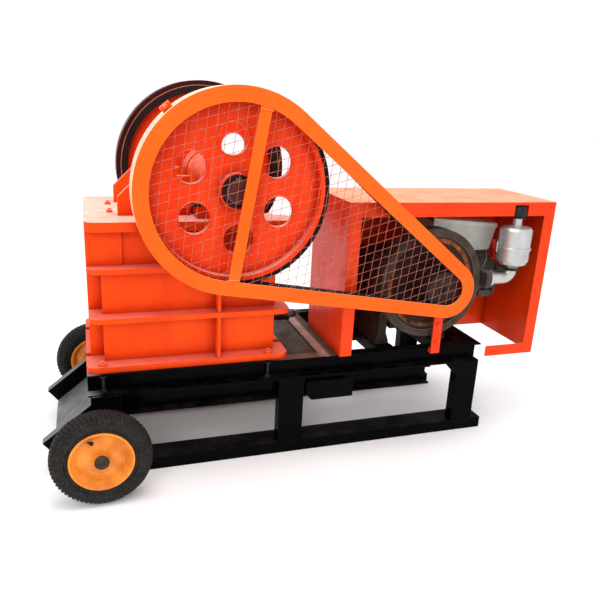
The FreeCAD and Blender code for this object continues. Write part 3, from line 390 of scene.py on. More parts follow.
def cast_iron(name, tone_a, tone_b, rust_tone, rust_from=0.55):
    """Rough oily casting with sand grain, grime and rust bloom."""
    f = Finish(name)
    patch = f.spots((0.32, 0.7), 11, 7, 0.7)
    tone = f.blend(tone_a, tone_b, patch)
    rust = f.spots((rust_from, rust_from + 0.16), 19, 9, 0.75, shift=(5, 1, 3))
    tone = f.blend(tone, rust_tone, rust, 0.8)
    dust = f.spots((0.35, 0.65), 30, 6, 0.7)
    tone = f.blend(tone, (0.22, 0.18, 0.15), f.facing_up(), dust, 0.5)
    f.bump((f.noise(150, 4, 0.65), 0.0016), (f.noise(24, 4), 0.003))
    f.finish(tone, f.ramp(patch, 0, 1, 0.38, 0.7), metal=0.15, specular=0.25)


def rusty_wheel():
    """The engine's flywheel: brown-grey band, a rust-orange ring inside it, oily dark face."""
    f = Finish("engine_wheel")
    reach = f.from_axle(CRANK)
    wander = f.sum("ADD", reach, f.spots((0.2, 0.8, -0.006, 0.006), 26, 6, 0.7))
    patch = f.spots((0.32, 0.7), 17, 8, 0.7)
    band = f.blend((0.024, 0.016, 0.012), (0.085, 0.062, 0.048), patch)
    face = f.blend((0.012, 0.006, 0.005), (0.04, 0.016, 0.01), patch)
    tone = f.blend(face, band, f.ramp(wander, 0.178, 0.182))
    ring = f.times(f.ramp(wander, 0.166, 0.172), f.ramp(wander, 0.188, 0.182))
    blotch = f.spots((0.42, 0.6), 9, 6, 0.7, shift=(1, 7, 2))
    tone = f.blend(tone, (0.45, 0.12, 0.03), ring, blotch, 0.9)
    line = f.times(f.ramp(reach, 0.1935, 0.1945), f.ramp(reach, 0.197, 0.196))
    tone = f.blend(tone, (0.3, 0.2, 0.14), line, 0.35)
    f.bump((f.noise(1.0, 2, 0.5, (300, 300, 300)), 0.0003), (f.noise(80, 5, 0.7), 0.002))
    f.finish(tone, f.ramp(patch, 0, 1, 0.45, 0.75), metal=0.15, specular=0.2)


def tyre_rubber():
    """Dusty black rubber with grey speckles and fine moulded grain."""
    f = Finish("tyre")
    patch = f.spots((0.35, 0.7), 16, 7, 0.7)
    tone = f.blend((0.006, 0.0055, 0.005), (0.02, 0.017, 0.015), patch)
    fine = f.spots((0.5, 0.75), 120, 4, 0.6)
    tone = f.blend(tone, (0.09, 0.08, 0.07), fine, 0.35)
    f.bump((f.noise(220, 3), 0.0004), (f.noise(40, 4), 0.0009))
    f.finish(tone, f.ramp(patch, 0, 1, 0.5, 0.8), specular=0.15)


def rim_paint():
    """Yellow-orange wheel enamel with darker patches and splashes of mud."""
    f = Finish("rim")
    patch = f.spots((0.36, 0.68), 13, 6, 0.65)
    tone = f.blend((0.86, 0.3, 0.035), (0.6, 0.15, 0.014), patch)
    mud = f.spots((0.57, 0.72), 24, 8, 0.75, shift=(6, 2, 1))
    tone = f.blend(tone, (0.22, 0.075, 0.02), mud, 0.45)
    f.bump((f.noise(120, 3), 0.0005), (patch, 0.0006))
    f.finish(tone, f.ramp(mud, 0, 1, 0.3, 0.6), specular=0.3)


def silver(name, bright, dark, spin, metal, rough):
    """Spun or cast light metal with fine marks, dull bloom and grime."""
    f = Finish(name)
    bloom = f.spots((0.35, 0.7), 17, 6, 0.65)
    tone = f.blend(bright, dark, bloom, 0.6)
    grime = f.spots((0.6, 0.76), 30, 8, 0.75, shift=(2, 5, 7))
    tone = f.blend(tone, (0.09, 0.06, 0.045), grime, 0.55)
    f.bump((f.noise(1.0, 4, 0.6, spin), 0.0002), (f.noise(60, 3), 0.0003))
    f.finish(tone, f.ramp(bloom, 0, 1, rough, rough + 0.22), metal=metal)


def rubber(name, tone_a, tone_b, rough):
    """Black rubber or plastic with a dusty bloom."""
    f = Finish(name)
    bloom = f.spots((0.35, 0.7), 40, 6, 0.7)
    f.bump((f.noise(260, 3), 0.0003), (bloom, 0.0004))
    f.finish(f.blend(tone_a, tone_b, bloom), f.ramp(bloom, 0, 1, rough, rough + 0.2),
             specular=0.22)


def mesh_wire():
    """Thin woven wire in pinkish worn paint over steel."""
    f = Finish("wire")
    patch = f.spots((0.4, 0.62), 60, 5, 0.7)
    tone = f.blend((0.55, 0.16, 0.12), (0.3, 0.06, 0.035), patch)
    f.bump((patch, 0.0003))
    f.finish(tone, f.ramp(patch, 0, 1, 0.4, 0.6), specular=0.3)


DUST = (0.26, 0.075, 0.03)
FINISHES = {}


def make_finishes():
    """Every finish, kept by name."""
    orange, deep = (0.88, 0.07, 0.003), (0.66, 0.034, 0.001)
    bright, bright_deep = (0.94, 0.122, 0.008), (0.88, 0.082, 0.004)
    black, soot = (0.006, 0.004, 0.004), (0.016, 0.009, 0.007)
    paint("casting", orange, deep, (1.0, 0.62, 0.5), 0.42, cast=True)
    paint("hood", (0.82, 0.054, 0.003), (0.66, 0.022, 0.001), (1.0, 0.37, 0.19), 0.24, 0.12,
          chips=0.76)
    paint("guard", bright, bright_deep, (1.0, 0.5, 0.28), 0.32, chips=0.74)
    paint("band", bright, bright_deep, (1.0, 0.64, 0.46), 0.4, chips=0.74, top_light_and_dust_share=1.0, left=True)
    wheel_paint("pulley", (0.84, 0.042, 0.003),
                [(0.0, 0.056, (0.045, 0.006, 0.005)), (0.303, 0.4, black)])
    # Flywheel bands by radius: black hub, dark rim face, a thin painted highlight line at the
    # rim's edge, then dark maroon beyond it, painted shade on the rim's outer band.
    wheel_paint("flywheel", (0.78, 0.034, 0.003),
                [(0.0, 0.056, black), (0.303, 0.331, soot), (0.331, 0.3335, (0.35, 0.2, 0.14)),
                 (0.3335, 0.4, (0.045, 0.003, 0.002))])
    skid_paint()
    dirty_floor()
    worn_sheet()
    cast_iron("liner", (0.06, 0.055, 0.05), (0.13, 0.12, 0.11), (0.14, 0.06, 0.03), 0.5)
    bare_steel("bar", (0.16, 0.15, 0.14), (0.05, 0.045, 0.04), 0.3)
    bare_steel("axle", (0.07, 0.055, 0.045), (0.03, 0.022, 0.018), 0.4)
    bare_steel("bolt", (0.3, 0.29, 0.28), (0.13, 0.12, 0.11), 0.32)
    bare_steel("bolt_dark", (0.05, 0.045, 0.042), (0.02, 0.018, 0.017), 0.35)
    tyre_rubber()
    rim_paint()
    mesh_wire()
    rubber("belt", (0.012, 0.012, 0.012), (0.03, 0.028, 0.026), 0.5)
    rubber("black_fitting", (0.006, 0.006, 0.006), (0.014, 0.013, 0.012), 0.32)
    cast_iron("iron", (0.025, 0.02, 0.017), (0.1, 0.085, 0.072), (0.1, 0.04, 0.02))
    cast_iron("brown_iron", (0.011, 0.007, 0.006), (0.034, 0.021, 0.015), (0.1, 0.035, 0.018),
              0.5)
    cast_iron("hub_end", (0.05, 0.005, 0.004), (0.11, 0.012, 0.009), (0.02, 0.006, 0.004))
    rusty_wheel()
    silver("tank", (0.58, 0.58, 0.54), (0.42, 0.41, 0.38), (20, 20, 20), 0.1, 0.4)
    silver("tank_top", (0.7, 0.68, 0.62), (0.5, 0.46, 0.4), (20, 20, 20), 0.1, 0.5)
    silver("cleaner", (0.54, 0.545, 0.545), (0.36, 0.36, 0.355), (30, 30, 500), 0.7, 0.3)
    silver("elbow", (0.55, 0.54, 0.52), (0.32, 0.3, 0.28), (40, 40, 40), 0.8, 0.22)
    paint("red_fitting", (0.72, 0.035, 0.04), (0.45, 0.012, 0.014), (0.8, 0.12, 0.1), 0.3, 0.3)


NODE_FINISH = {
    "skid": "skid_frame legs deck_beams support_rails deck_cross_members hanger_plate chute_bars",
    "floor_plate": "deck_plate",
    "chute": "chute_floor",
    "liner": "fixed_jaw_plate swing_jaw_plate toggle_plate",
    "bar": "eccentric_shaft tension_rod",
    "axle": "axle",
    "tyre": "wheel_tyre_front wheel_tyre_back",
    "rim": "wheel_rim_front wheel_rim_back",
    "casting": "side_wall_front side_wall_back end_wall_feed end_wall_toggle bearing_housings "
               "swing_jaw",
    "pulley": "drive_pulley",
    "flywheel": "flywheel",
    "guard": "guard_frame guard_brace",
    "band": "guard_band",
    "hood": "hood_left hood_right hood_roof hood_back hood_lips guard_supports",
    "wire": "guard_mesh",
    "belt": "drive_belts",
    "iron": "cylinder_head",
    "brown_iron": "engine_block engine_pulley engine_feet",
    "engine_wheel": "engine_flywheel",
    "tank": "fuel_tank",
    "cleaner": "air_cleaner",
    "elbow": "intake_elbow",
}


def dress_nodes():
    """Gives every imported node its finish."""
    for finish, nodes in NODE_FINISH.items():
        for node in nodes.split():
            for mesh_slot in NODES[node].material_slots:
                mesh_slot.material = FINISHES[finish]


# ---------------- mesh tools

def square_to(axis):
    """An axis and two directions square to it."""
    axis = Vector(axis).normalized()
    other = Z if abs(axis.z) < 0.9 else X
    first = axis.cross(other).normalized()
    return axis, first, axis.cross(first)


def around(degrees, reach, y=0.0):
    """A step out from an axis along Y, at an angle from X towards Z."""
    angle = math.radians(degrees)
    return Vector((math.cos(angle) * reach, y, math.sin(angle) * reach))


def quarter_turn(way):
    """A direction in the XZ plane, turned by a quarter."""
    return Vector((-way.z, 0, way.x))


def smooth_path(points):
    """A Catmull-Rom path through given points."""
    steps = 6
    points = [Vector(point) for point in points]
    spots = [points[0]] + points + [points[-1]]
    path = []
    for one, two, three, four in zip(spots, spots[1:], spots[2:], spots[3:]):
        for step in range(steps):
            t = step / steps
            path.append(0.5 * ((2 * two) + (three - one) * t
                               + (2 * one - 5 * two + 4 * three - four) * t * t
                               + (3 * two - one - 3 * three + four) * t * t * t))
    return path + [points[-1]]


class Shape:
    """Gathers mesh parts that become one piece."""

    def __init__(self):
        self.bm = bmesh.new()

    def rings(self, rings, loop=False):
        """Skins a list of equal rings of points, with closed ends or joined in a loop."""
        rows = [[self.bm.verts.new(point) for point in ring] for ring in rings]
        pairs = list(zip(rows, rows[1:])) + ([(rows[-1], rows[0])] if loop else [])
        for one, two in pairs:
            for step in range(len(one)):
                ahead = (step + 1) % len(one)
                self.bm.faces.new((one[step], one[ahead], two[ahead], two[step]))
        if not loop:
            self.bm.faces.new(list(reversed(rows[0])))
            self.bm.faces.new(rows[-1])

    def lathe(self, spot, axis, profile, sides=24, turn=0.0):
        """A turned shape: profile is (radius, height along the axis) with closed ends."""
        axis, first, second = square_to(axis)
        angles = [turn + 2 * math.pi * step / sides for step in range(sides)]
        self.rings([[Vector(spot) + axis * rise
                     + (first * math.cos(angle) + second * math.sin(angle)) * radius
                     for angle in angles] for radius, rise in profile])

    def hoop(self, spot, axis, profile, sides=40):
        """A turned ring: profile is a closed outline of (radius, height)."""
        axis, first, second = square_to(axis)
        rings = []
        for step in range(sides):
            angle = 2 * math.pi * step / sides
            out = first * math.cos(angle) + second * math.sin(angle)
            rings.append([Vector(spot) + out * radius + axis * rise
                          for radius, rise in profile])
        self.rings(rings, loop=True)

    def tube(self, path, radius, sides=10, bumps=0.0, seed=1):
        """A round bar along a path, or a weld bead where bumps is above 0."""
        chance = random.Random(seed)
        path = [Vector(point) for point in path]
        first = square_to(path[1] - path[0])[1]
        rings = []
        for step, point in enumerate(path):
            ahead = path[min(step + 1, len(path) - 1)] - path[max(step - 1, 0)]
            ahead.normalize()
            first = (first - ahead * first.dot(ahead)).normalized()
            second = ahead.cross(first)
            size = radius * (1 + bumps * chance.uniform(-1, 1))
            rings.append([point + (first * math.cos(a) + second * math.sin(a)) * size
                          for a in (2 * math.pi * i / sides for i in range(sides))])
        self.rings(rings)

    def block(self, low_corner, high_corner):
        """A block between two corners."""
        a, b = Vector(low_corner), Vector(high_corner)
        self.rings([[(a.x, a.y, z), (b.x, a.y, z), (b.x, b.y, z), (a.x, b.y, z)]
                    for z in (a.z, b.z)])

    def bolt(self, spot, axis, size, stud=0.0):
        """A washer and a chamfered hex head of one thread size, with any stud beyond it."""
        axis = Vector(axis).normalized()
        self.lathe(spot, axis, [(size * 1.02, 0), (size * 1.1, size * 0.03),
                                (size * 1.1, size * 0.15), (size * 1.04, size * 0.18)])
        across = size * 0.92
        start = size * 0.18
        turn = 0.1 + (spot[0] * 37 + spot[2] * 23) % 1.0
        self.lathe(Vector(spot) + axis * start, axis,
                   [(across * 0.95, 0), (across, size * 0.05), (across, size * 0.56),
                    (across * 0.9, size * 0.66), (across * 0.6, size * 0.68)], 6, turn)
        if stud:
            base = Vector(spot) + axis * (start + size * 0.66)
            self.lathe(base, axis, [(size * 0.5, 0), (size * 0.5, stud - size * 0.08),
                                    (size * 0.4, stud)], 16)

    def weld(self, start, end, radius, seed):
        """A rippled weld bead between two points."""
        start, end = Vector(start), Vector(end)
        count = max(4, int((end - start).length / (radius * 1.1)))
        self.tube([start.lerp(end, i / count) for i in range(count + 1)], radius, 8, 0.22, seed)

    def piece(self, name, finish, slot, soft=0.0006, body=BASE, smooth=True):
        """Turns the gathered parts into one piece that rides on a body."""
        bmesh.ops.recalc_face_normals(self.bm, faces=self.bm.faces)
        mesh = bpy.data.meshes.new(name)
        self.bm.to_mesh(mesh)
        self.bm.free()
        item = place(name, mesh)
        mesh.materials.append(FINISHES[finish])
        if soft:
            edge = item.modifiers.new("soft_edges", "BEVEL")
            edge.width = soft
            edge.segments = 2
            edge.limit_method = "ANGLE"
            edge.angle_limit = SOFT_ANGLE
        if smooth:
            mesh.shade_smooth()
            mesh.set_sharp_from_angle(angle=SHARP_ANGLE)
        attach(item, body)
        return item


# ---------------- ground wheels

def make_tyre(side):
    """A treaded tyre that stands for the plain CAD tyre: 66 chevron lugs and ringed walls."""
    node, rim = f"wheel_tyre_{side}", f"wheel_rim_{side}"
    centre = middle(node)
    outer = (high(node).z - low(node).z) / 2
    half = (high(node).y - low(node).y) / 2
    bead = (high(rim).z - low(rim).z) / 2 - 0.0002
    lugs, steps, groove_from, groove_depth = 66, 6, 0.62, 0.0042
    profile = [(bead + up, depth - half) for up, depth in (
        (0, 0.014), (0.006, 0.008), (0.011, 0.0055), (0.0125, 0.0075), (0.014, 0.0045),
        (0.026, 0.0015))]
    profile += [(outer - down, depth - half) for down, depth in (
        (0.033, 0), (0.024, 0.002), (0.0225, 0.0035), (0.017, 0.004), (0.01, 0.009),
        (0.004, 0.017), (0.001, 0.027), (0, 0.036))]
    profile += [(outer, 0.0)] + [(radius, -depth) for radius, depth in reversed(profile)]
    depths = [0] * 8 + [0.35, 0.8, 1, 1, 1, 1, 0.2] + [1, 1, 1, 1, 0.8, 0.35] + [0] * 8
    rings = []
    for step in range(lugs * steps):
        ring = []
        for (radius, depth), share in zip(profile, depths):
            lean = abs(depth) / half * steps * 0.85
            stagger = steps / 2 if depth > 0.002 else 0
            in_groove = (step + lean + stagger) % steps >= steps * groove_from
            angle = 2 * math.pi * step / (lugs * steps)
            size = radius - groove_depth * share * in_groove
            ring.append(centre + Vector((math.cos(angle) * size, depth, math.sin(angle) * size)))
        rings.append(ring)
    tyre = Shape()
    tyre.rings(rings, loop=True)
    piece = tyre.piece(f"tyre_{side}", "tyre", "tyre_rubber", 0, f"ground_wheel_{side}", False)
    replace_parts(piece, node)


def make_wheel_fittings(side):
    """The ring on the axle's end and the valve stem of one ground wheel."""
    centre = middle(f"wheel_rim_{side}")
    sign, axle_end = (-1, low("axle").y) if side == "front" else (1, high("axle").y)
    out = Y * sign
    ring = Shape()
    ring.hoop((centre.x, axle_end, centre.z), out,
              [(0.0221, -0.004), (0.0248, -0.004), (0.0248, -0.0012), (0.0238, -0.0003),
               (0.0221, -0.0003)])
    ring.piece(f"axle_ring_{side}", "bolt_dark", "axle_steel", 0)
    stem = Shape()
    stem.lathe(centre + Vector((-0.03, sign * 0.0125, 0.062)),
               out * 0.8 + Vector((-0.3, 0, 0.62)),
               [(0.0075, -0.002), (0.0072, 0.004), (0.0045, 0.007), (0.0042, 0.022),
                (0.0035, 0.0225), (0.0035, 0.025), (0.0046, 0.0255), (0.0046, 0.033),
                (0.0036, 0.035)], 20)
    stem.piece(f"valve_stem_{side}", "black_fitting", "tyre_rubber", 0.0003,
               f"ground_wheel_{side}")


# ---------------- fasteners and welds

def make_crusher_bolts():
    """Foundation bolts, cap bolts, bearing covers and the liners' wedge bolts."""
    foot = low("side_wall_front").z + 0.022
    web_under = DECK.z - 0.006
    beam_under = low("deck_beams").z
    heads, nuts, rods = Shape(), Shape(), Shape()
    for along in (0.054, 0.66):
        for y in (0.027, DECK.y - 0.027):
            heads.bolt((along, y, foot), Z, 0.016, 0.006)
            nuts.bolt((along, y, web_under), -Z, 0.016)
            nuts.bolt((along, y, beam_under + 0.006), Z, 0.013)
            rods.tube([(along, y, beam_under + 0.012), (along, y, web_under - 0.008)],
                      0.0055, 16)
    heads.piece("foundation_bolt_heads", "casting", "casting_paint", 0.0012)
    rods.piece("foundation_studs", "bolt_dark", "skid_paint", 0)
    nuts.piece("foundation_nuts", "bolt_dark", "axle_steel")
    caps, covers = Shape(), Shape()
    cap_low, cap_high = low("bearing_housings"), high("bearing_housings")
    for y, out in ((cap_low.y, -1), (cap_high.y, 1)):
        for along in (-0.1, 0.1):
            for inset in (0.022, 0.078):
                caps.bolt((SHAFT.x + along, y - out * inset, cap_low.z + 0.04), Z, 0.018, 0.014)
        spot = Vector((SHAFT.x, y, SHAFT.z))
        for step in range(8):
            caps.bolt(spot + around(22.5 + 45 * step, 0.082, out * 0.008), Y * out, 0.009)
        covers.hoop(spot, Y * out, [(0.0425, 0), (0.093, 0), (0.093, 0.006), (0.09, 0.008),
                                    (0.06, 0.008), (0.056, 0.014), (0.0425, 0.014)], 56)
    caps.piece("bearing_bolts", "bolt_dark", "axle_steel")
    covers.piece("bearing_covers", "casting", "casting_paint", 0.001)
    wedge = Shape()
    top = high("end_wall_feed").z
    for across in (0.2, 0.37):
        wedge.bolt((0.105, across, top), Z, 0.012, 0.006)
    for y, out in ((0.13, -1), (DECK.y - 0.13, 1)):
        for along, up in ((0.2, 0.03), (0.34, 0.03), (0.34, 0.09)):
            wedge.bolt((along, y, top + up), Y * out, 0.011)
    wedge.piece("liner_bolts", "casting", "casting_paint", 0.001)


def make_guard_fixings():
    """Bolts on the guard's post, and the guard's fixing tab with its bolt."""
    bolts = Shape()
    for up in (0.44, 0.515):
        bolts.bolt((POST_X, -0.022, up), -Y, 0.007)
    bolts.bolt((POST_X, -0.008, DECK.z), Z, 0.008)
    bolts.piece("guard_bolts", "hood", "guard_paint", 0.0003)
    centre = Vector((SHAFT.x, low("guard_frame").y, SHAFT.z - 0.008))
    out = around(131, 1)
    side = quarter_turn(out)
    spot = centre + out * 0.339
    corners = [spot - side * 0.018, spot + side * 0.018,
               spot + side * 0.018 + out * 0.022, spot - side * 0.018 + out * 0.022]
    tab = Shape()
    tab.rings([[corner + Y * depth for corner in corners] for depth in (0.03, 0.036)])
    tab.piece("guard_tab", "band", "guard_paint", 0.001)
    pin = Shape()
    pin.bolt(spot + out * 0.012 + Y * 0.03, -Y, 0.007)
    pin.piece("guard_tab_bolt", "band", "guard_paint", 0.0003)


def make_welds():
    """Weld beads where the skid's members meet, and on the guard's brace and post."""
    dark = Shape()
    beam_under = low("deck_beams").z
    seed = 1
    for start in (low("legs").x, 0.704, DECK.x - 0.1):
        for z in (high("skid_frame").z + 0.001, beam_under - 0.001):
            dark.weld((start + 0.004, -0.001, z), (start + 0.096, -0.001, z), 0.003, seed)
            seed += 1
    rail_under = low("support_rails").z
    for edge in (0.109, 0.703, 0.805):
        dark.weld((edge, 0.002, rail_under + 0.002), (edge, 0.002, rail_under + 0.08),
                  0.0026, seed)
        seed += 1
    corner = Vector((DECK.x - 0.1, 0.003, beam_under))
    for way, seed in ((Z, 31), (X, 32)):
        dark.weld(corner - way * 0.058, corner - way * 0.002, 0.0026, seed)
    start, end = low("hanger_plate"), high("hanger_plate")
    dark.weld((start.x + 0.004, -0.001, end.z), (end.x - 0.004, -0.001, end.z), 0.0024, 33)
    for y in (0.049, DECK.y - 0.049):
        dark.weld((0.0, y, 0.322), (0.064, y, 0.322), 0.0026, 40)
    on_deck = DECK.z + 0.0005
    for along in (0.868, 0.94, 1.128, 1.2, 1.398, 1.47, 1.497):
        for y, reach in ((0.047, 0.025), (DECK.y - 0.047, -0.025)):
            dark.weld((along, y, on_deck), (along, y + reach, on_deck), 0.0016,
                      50 + int(along * 10))
    dark.piece("skid_welds", "skid", "skid_paint", 0)
    bright = Shape()
    face = low("guard_frame").y
    top, bottom = high("guard_brace").z, low("guard_brace").z
    bright.weld((0.566, face, top - 0.012), (0.606, face, top - 0.018), 0.002, 60)
    bright.weld((0.463, face, bottom + 0.008), (0.503, face, bottom + 0.008), 0.002, 61)
    bright.weld((POST_X - 0.02, -0.0225, 0.582), (POST_X + 0.02, -0.0225, 0.582), 0.0022, 62)
    bright.piece("guard_welds", "guard", "guard_paint", 0)


def make_tension_spring():
    """The coil spring round the tension rod's sleeve, with lock nuts at the rod's end."""
    rod_end = high("tension_rod").x
    start, reach = 0.702, rod_end - 0.047 - 0.702
    centre_z, radius, turns, steps = 0.490, 0.0245, 9, 20
    path = []
    for step in range(turns * steps + 1):
        angle = 2 * math.pi * step / steps
        path.append((start + reach * step / (turns * steps),
                     MACHINE_Y + math.cos(angle) * radius, centre_z + math.sin(angle) * radius))
    coil = Shape()
    coil.tube(path, 0.0042, 8)
    coil.piece("tension_spring", "black_fitting", "axle_steel", 0)
    nuts = Shape()
    for inset, size in ((0.036, 0.02), (0.018, 0.017)):
        nuts.bolt((rod_end - inset, MACHINE_Y, centre_z), X, size)
    nuts.piece("tension_nuts", "bolt_dark", "axle_steel")


# ---------------- woven wire

WIRE_PITCH, WIRE_STEP, WIRE_SWAY, WIRE_RADIUS = 0.031, 0.0075, 0.00095, 0.00078
WIRE_WAYS = [(around(turn, 1), quarter_turn(around(turn, 1))) for turn in (15.5, 83.5)]


def wire_runs(item):
    """The straight wires of the CAD mesh as (family, offset across, start, end)."""
    bm = bmesh.new()
    bm.from_mesh(item.data)
    bmesh.ops.remove_doubles(bm, verts=bm.verts, dist=1e-6)
    left = set(bm.verts)
    runs = []
    while left:
        island, edge = [], [left.pop()]
        while edge:
            vert = edge.pop()
            island.append(item.matrix_world @ vert.co)
            for link in vert.link_edges:
                other = link.other_vert(vert)
                if other in left:
                    left.discard(other)
                    edge.append(other)
        fits = []
        for family, (along, across) in enumerate(WIRE_WAYS):
            spread = [point.dot(across) for point in island]
            reach = [point.dot(along) for point in island]
            fits.append((max(spread) - min(spread), family, (max(spread) + min(spread)) / 2,
                         min(reach), max(reach)))
        runs.append(min(fits)[1:])
    bm.free()
    return sorted(runs)


def make_woven_wire():
    """Round wires that pass over and under each other where the CAD mesh has flat layers."""
    node = "guard_mesh"
    depth = middle(node).y
    runs = wire_runs(NODES[node])
    first = [min(run[1] for run in runs if run[0] == family) for family in (0, 1)]
    weave = Shape()
    for family, offset, start, end in runs:
        along, across = WIRE_WAYS[family]
        other_across = WIRE_WAYS[1 - family][1]
        own = round((offset - first[family]) / WIRE_PITCH)
        count = max(4, int((end - start) / WIRE_STEP))
        path = []
        for step in range(count + 1):
            point = along * (start + (end - start) * step / count) + across * offset
            crossing = (point.dot(other_across) - first[1 - family]) / WIRE_PITCH
            sway = math.cos(math.pi * (own + crossing)) * (1 if family else -1)
            path.append(Vector((point.x, depth + sway * WIRE_SWAY, point.z)))
        weave.tube(path, WIRE_RADIUS, 6)
    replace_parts(weave.piece("guard_wire", "wire", "mesh_wire", 0), node)


# ---------------- rotors

def make_rotor_fittings():
    """End plates and the key on the crusher shaft, and the rims of both wheels' spoke holes."""
    start, end = low("eccentric_shaft"), high("eccentric_shaft")
    caps = Shape()
    for y, out in ((start.y, -1), (end.y, 1)):
        spot = Vector((SHAFT.x, y, SHAFT.z))
        caps.lathe(spot - Y * out * 0.0005, Y * out,
                   [(0.034, 0), (0.036, 0.001), (0.036, 0.0028), (0.034, 0.0036)], 40)
        for step in range(3):
            caps.bolt(spot + around(90 + 120 * step, 0.02, out * 0.003), Y * out, 0.0065)
    caps.piece("shaft_caps", "hub_end", "axle_steel", 0.0004, ROTOR)
    key = Shape()
    key.block((SHAFT.x - 0.01, start.y + 0.002, SHAFT.z + 0.038),
              (SHAFT.x + 0.01, start.y + 0.02, SHAFT.z + 0.045))
    key.piece("shaft_key", "bar", "axle_steel", body=ROTOR)
    beads = Shape()
    for node, depths in (("drive_pulley", (0.036, 0.052)), ("flywheel", (0.034, 0.05))):
        for step in range(6):
            for depth, out in zip(depths, (-1, 1)):
                spot = Vector((SHAFT.x, low(node).y + depth, SHAFT.z))
                beads.hoop(spot + around(154 + 60 * step, 0.167), Y * out,
                           [(0.0522, -0.002), (0.0522, 0.0018), (0.0545, 0.003),
                            (0.0575, 0.0015), (0.058, -0.001)])
    beads.piece("spoke_hole_rims", "pulley", "wheel_paint", 0, ROTOR)


def make_engine_rotor():
    """The engine flywheel's hub, hub bolts and two turned beads."""
    spot = Vector((CRANK.x, low("engine_flywheel").y + 0.014, CRANK.z))
    hub = Shape()
    hub.hoop(spot, -Y, [(0.0225, 0), (0.064, 0), (0.062, 0.01), (0.05, 0.014), (0.0225, 0.014)],
             48)
    hub.piece("engine_hub", "brown_iron", "engine_iron", 0.001, ENGINE)
    bolts = Shape()
    for step in range(6):
        bolts.bolt(spot + around(30 + 60 * step, 0.048, -0.0125), -Y, 0.009)
    bolts.bolt((CRANK.x, low("engine_pulley").y, CRANK.z), -Y, 0.016)
    bolts.piece("engine_hub_bolts", "bolt_dark", "axle_steel", body=ENGINE)
    beads = Shape()
    for radius, foot, crest, base, top in ((0.196, 0.0025, 0.001, 0.012, 0.0155),
                                           (0.168, 0.003, 0.0015, -0.001, 0.0025)):
        beads.hoop(spot, -Y, [(radius - foot, base), (radius - crest, top),
                              (radius + crest, top), (radius + foot, base)], 72)
    beads.piece("engine_wheel_beads", "engine_wheel", "engine_iron", 0, ENGINE)


# ---------------- engine dress

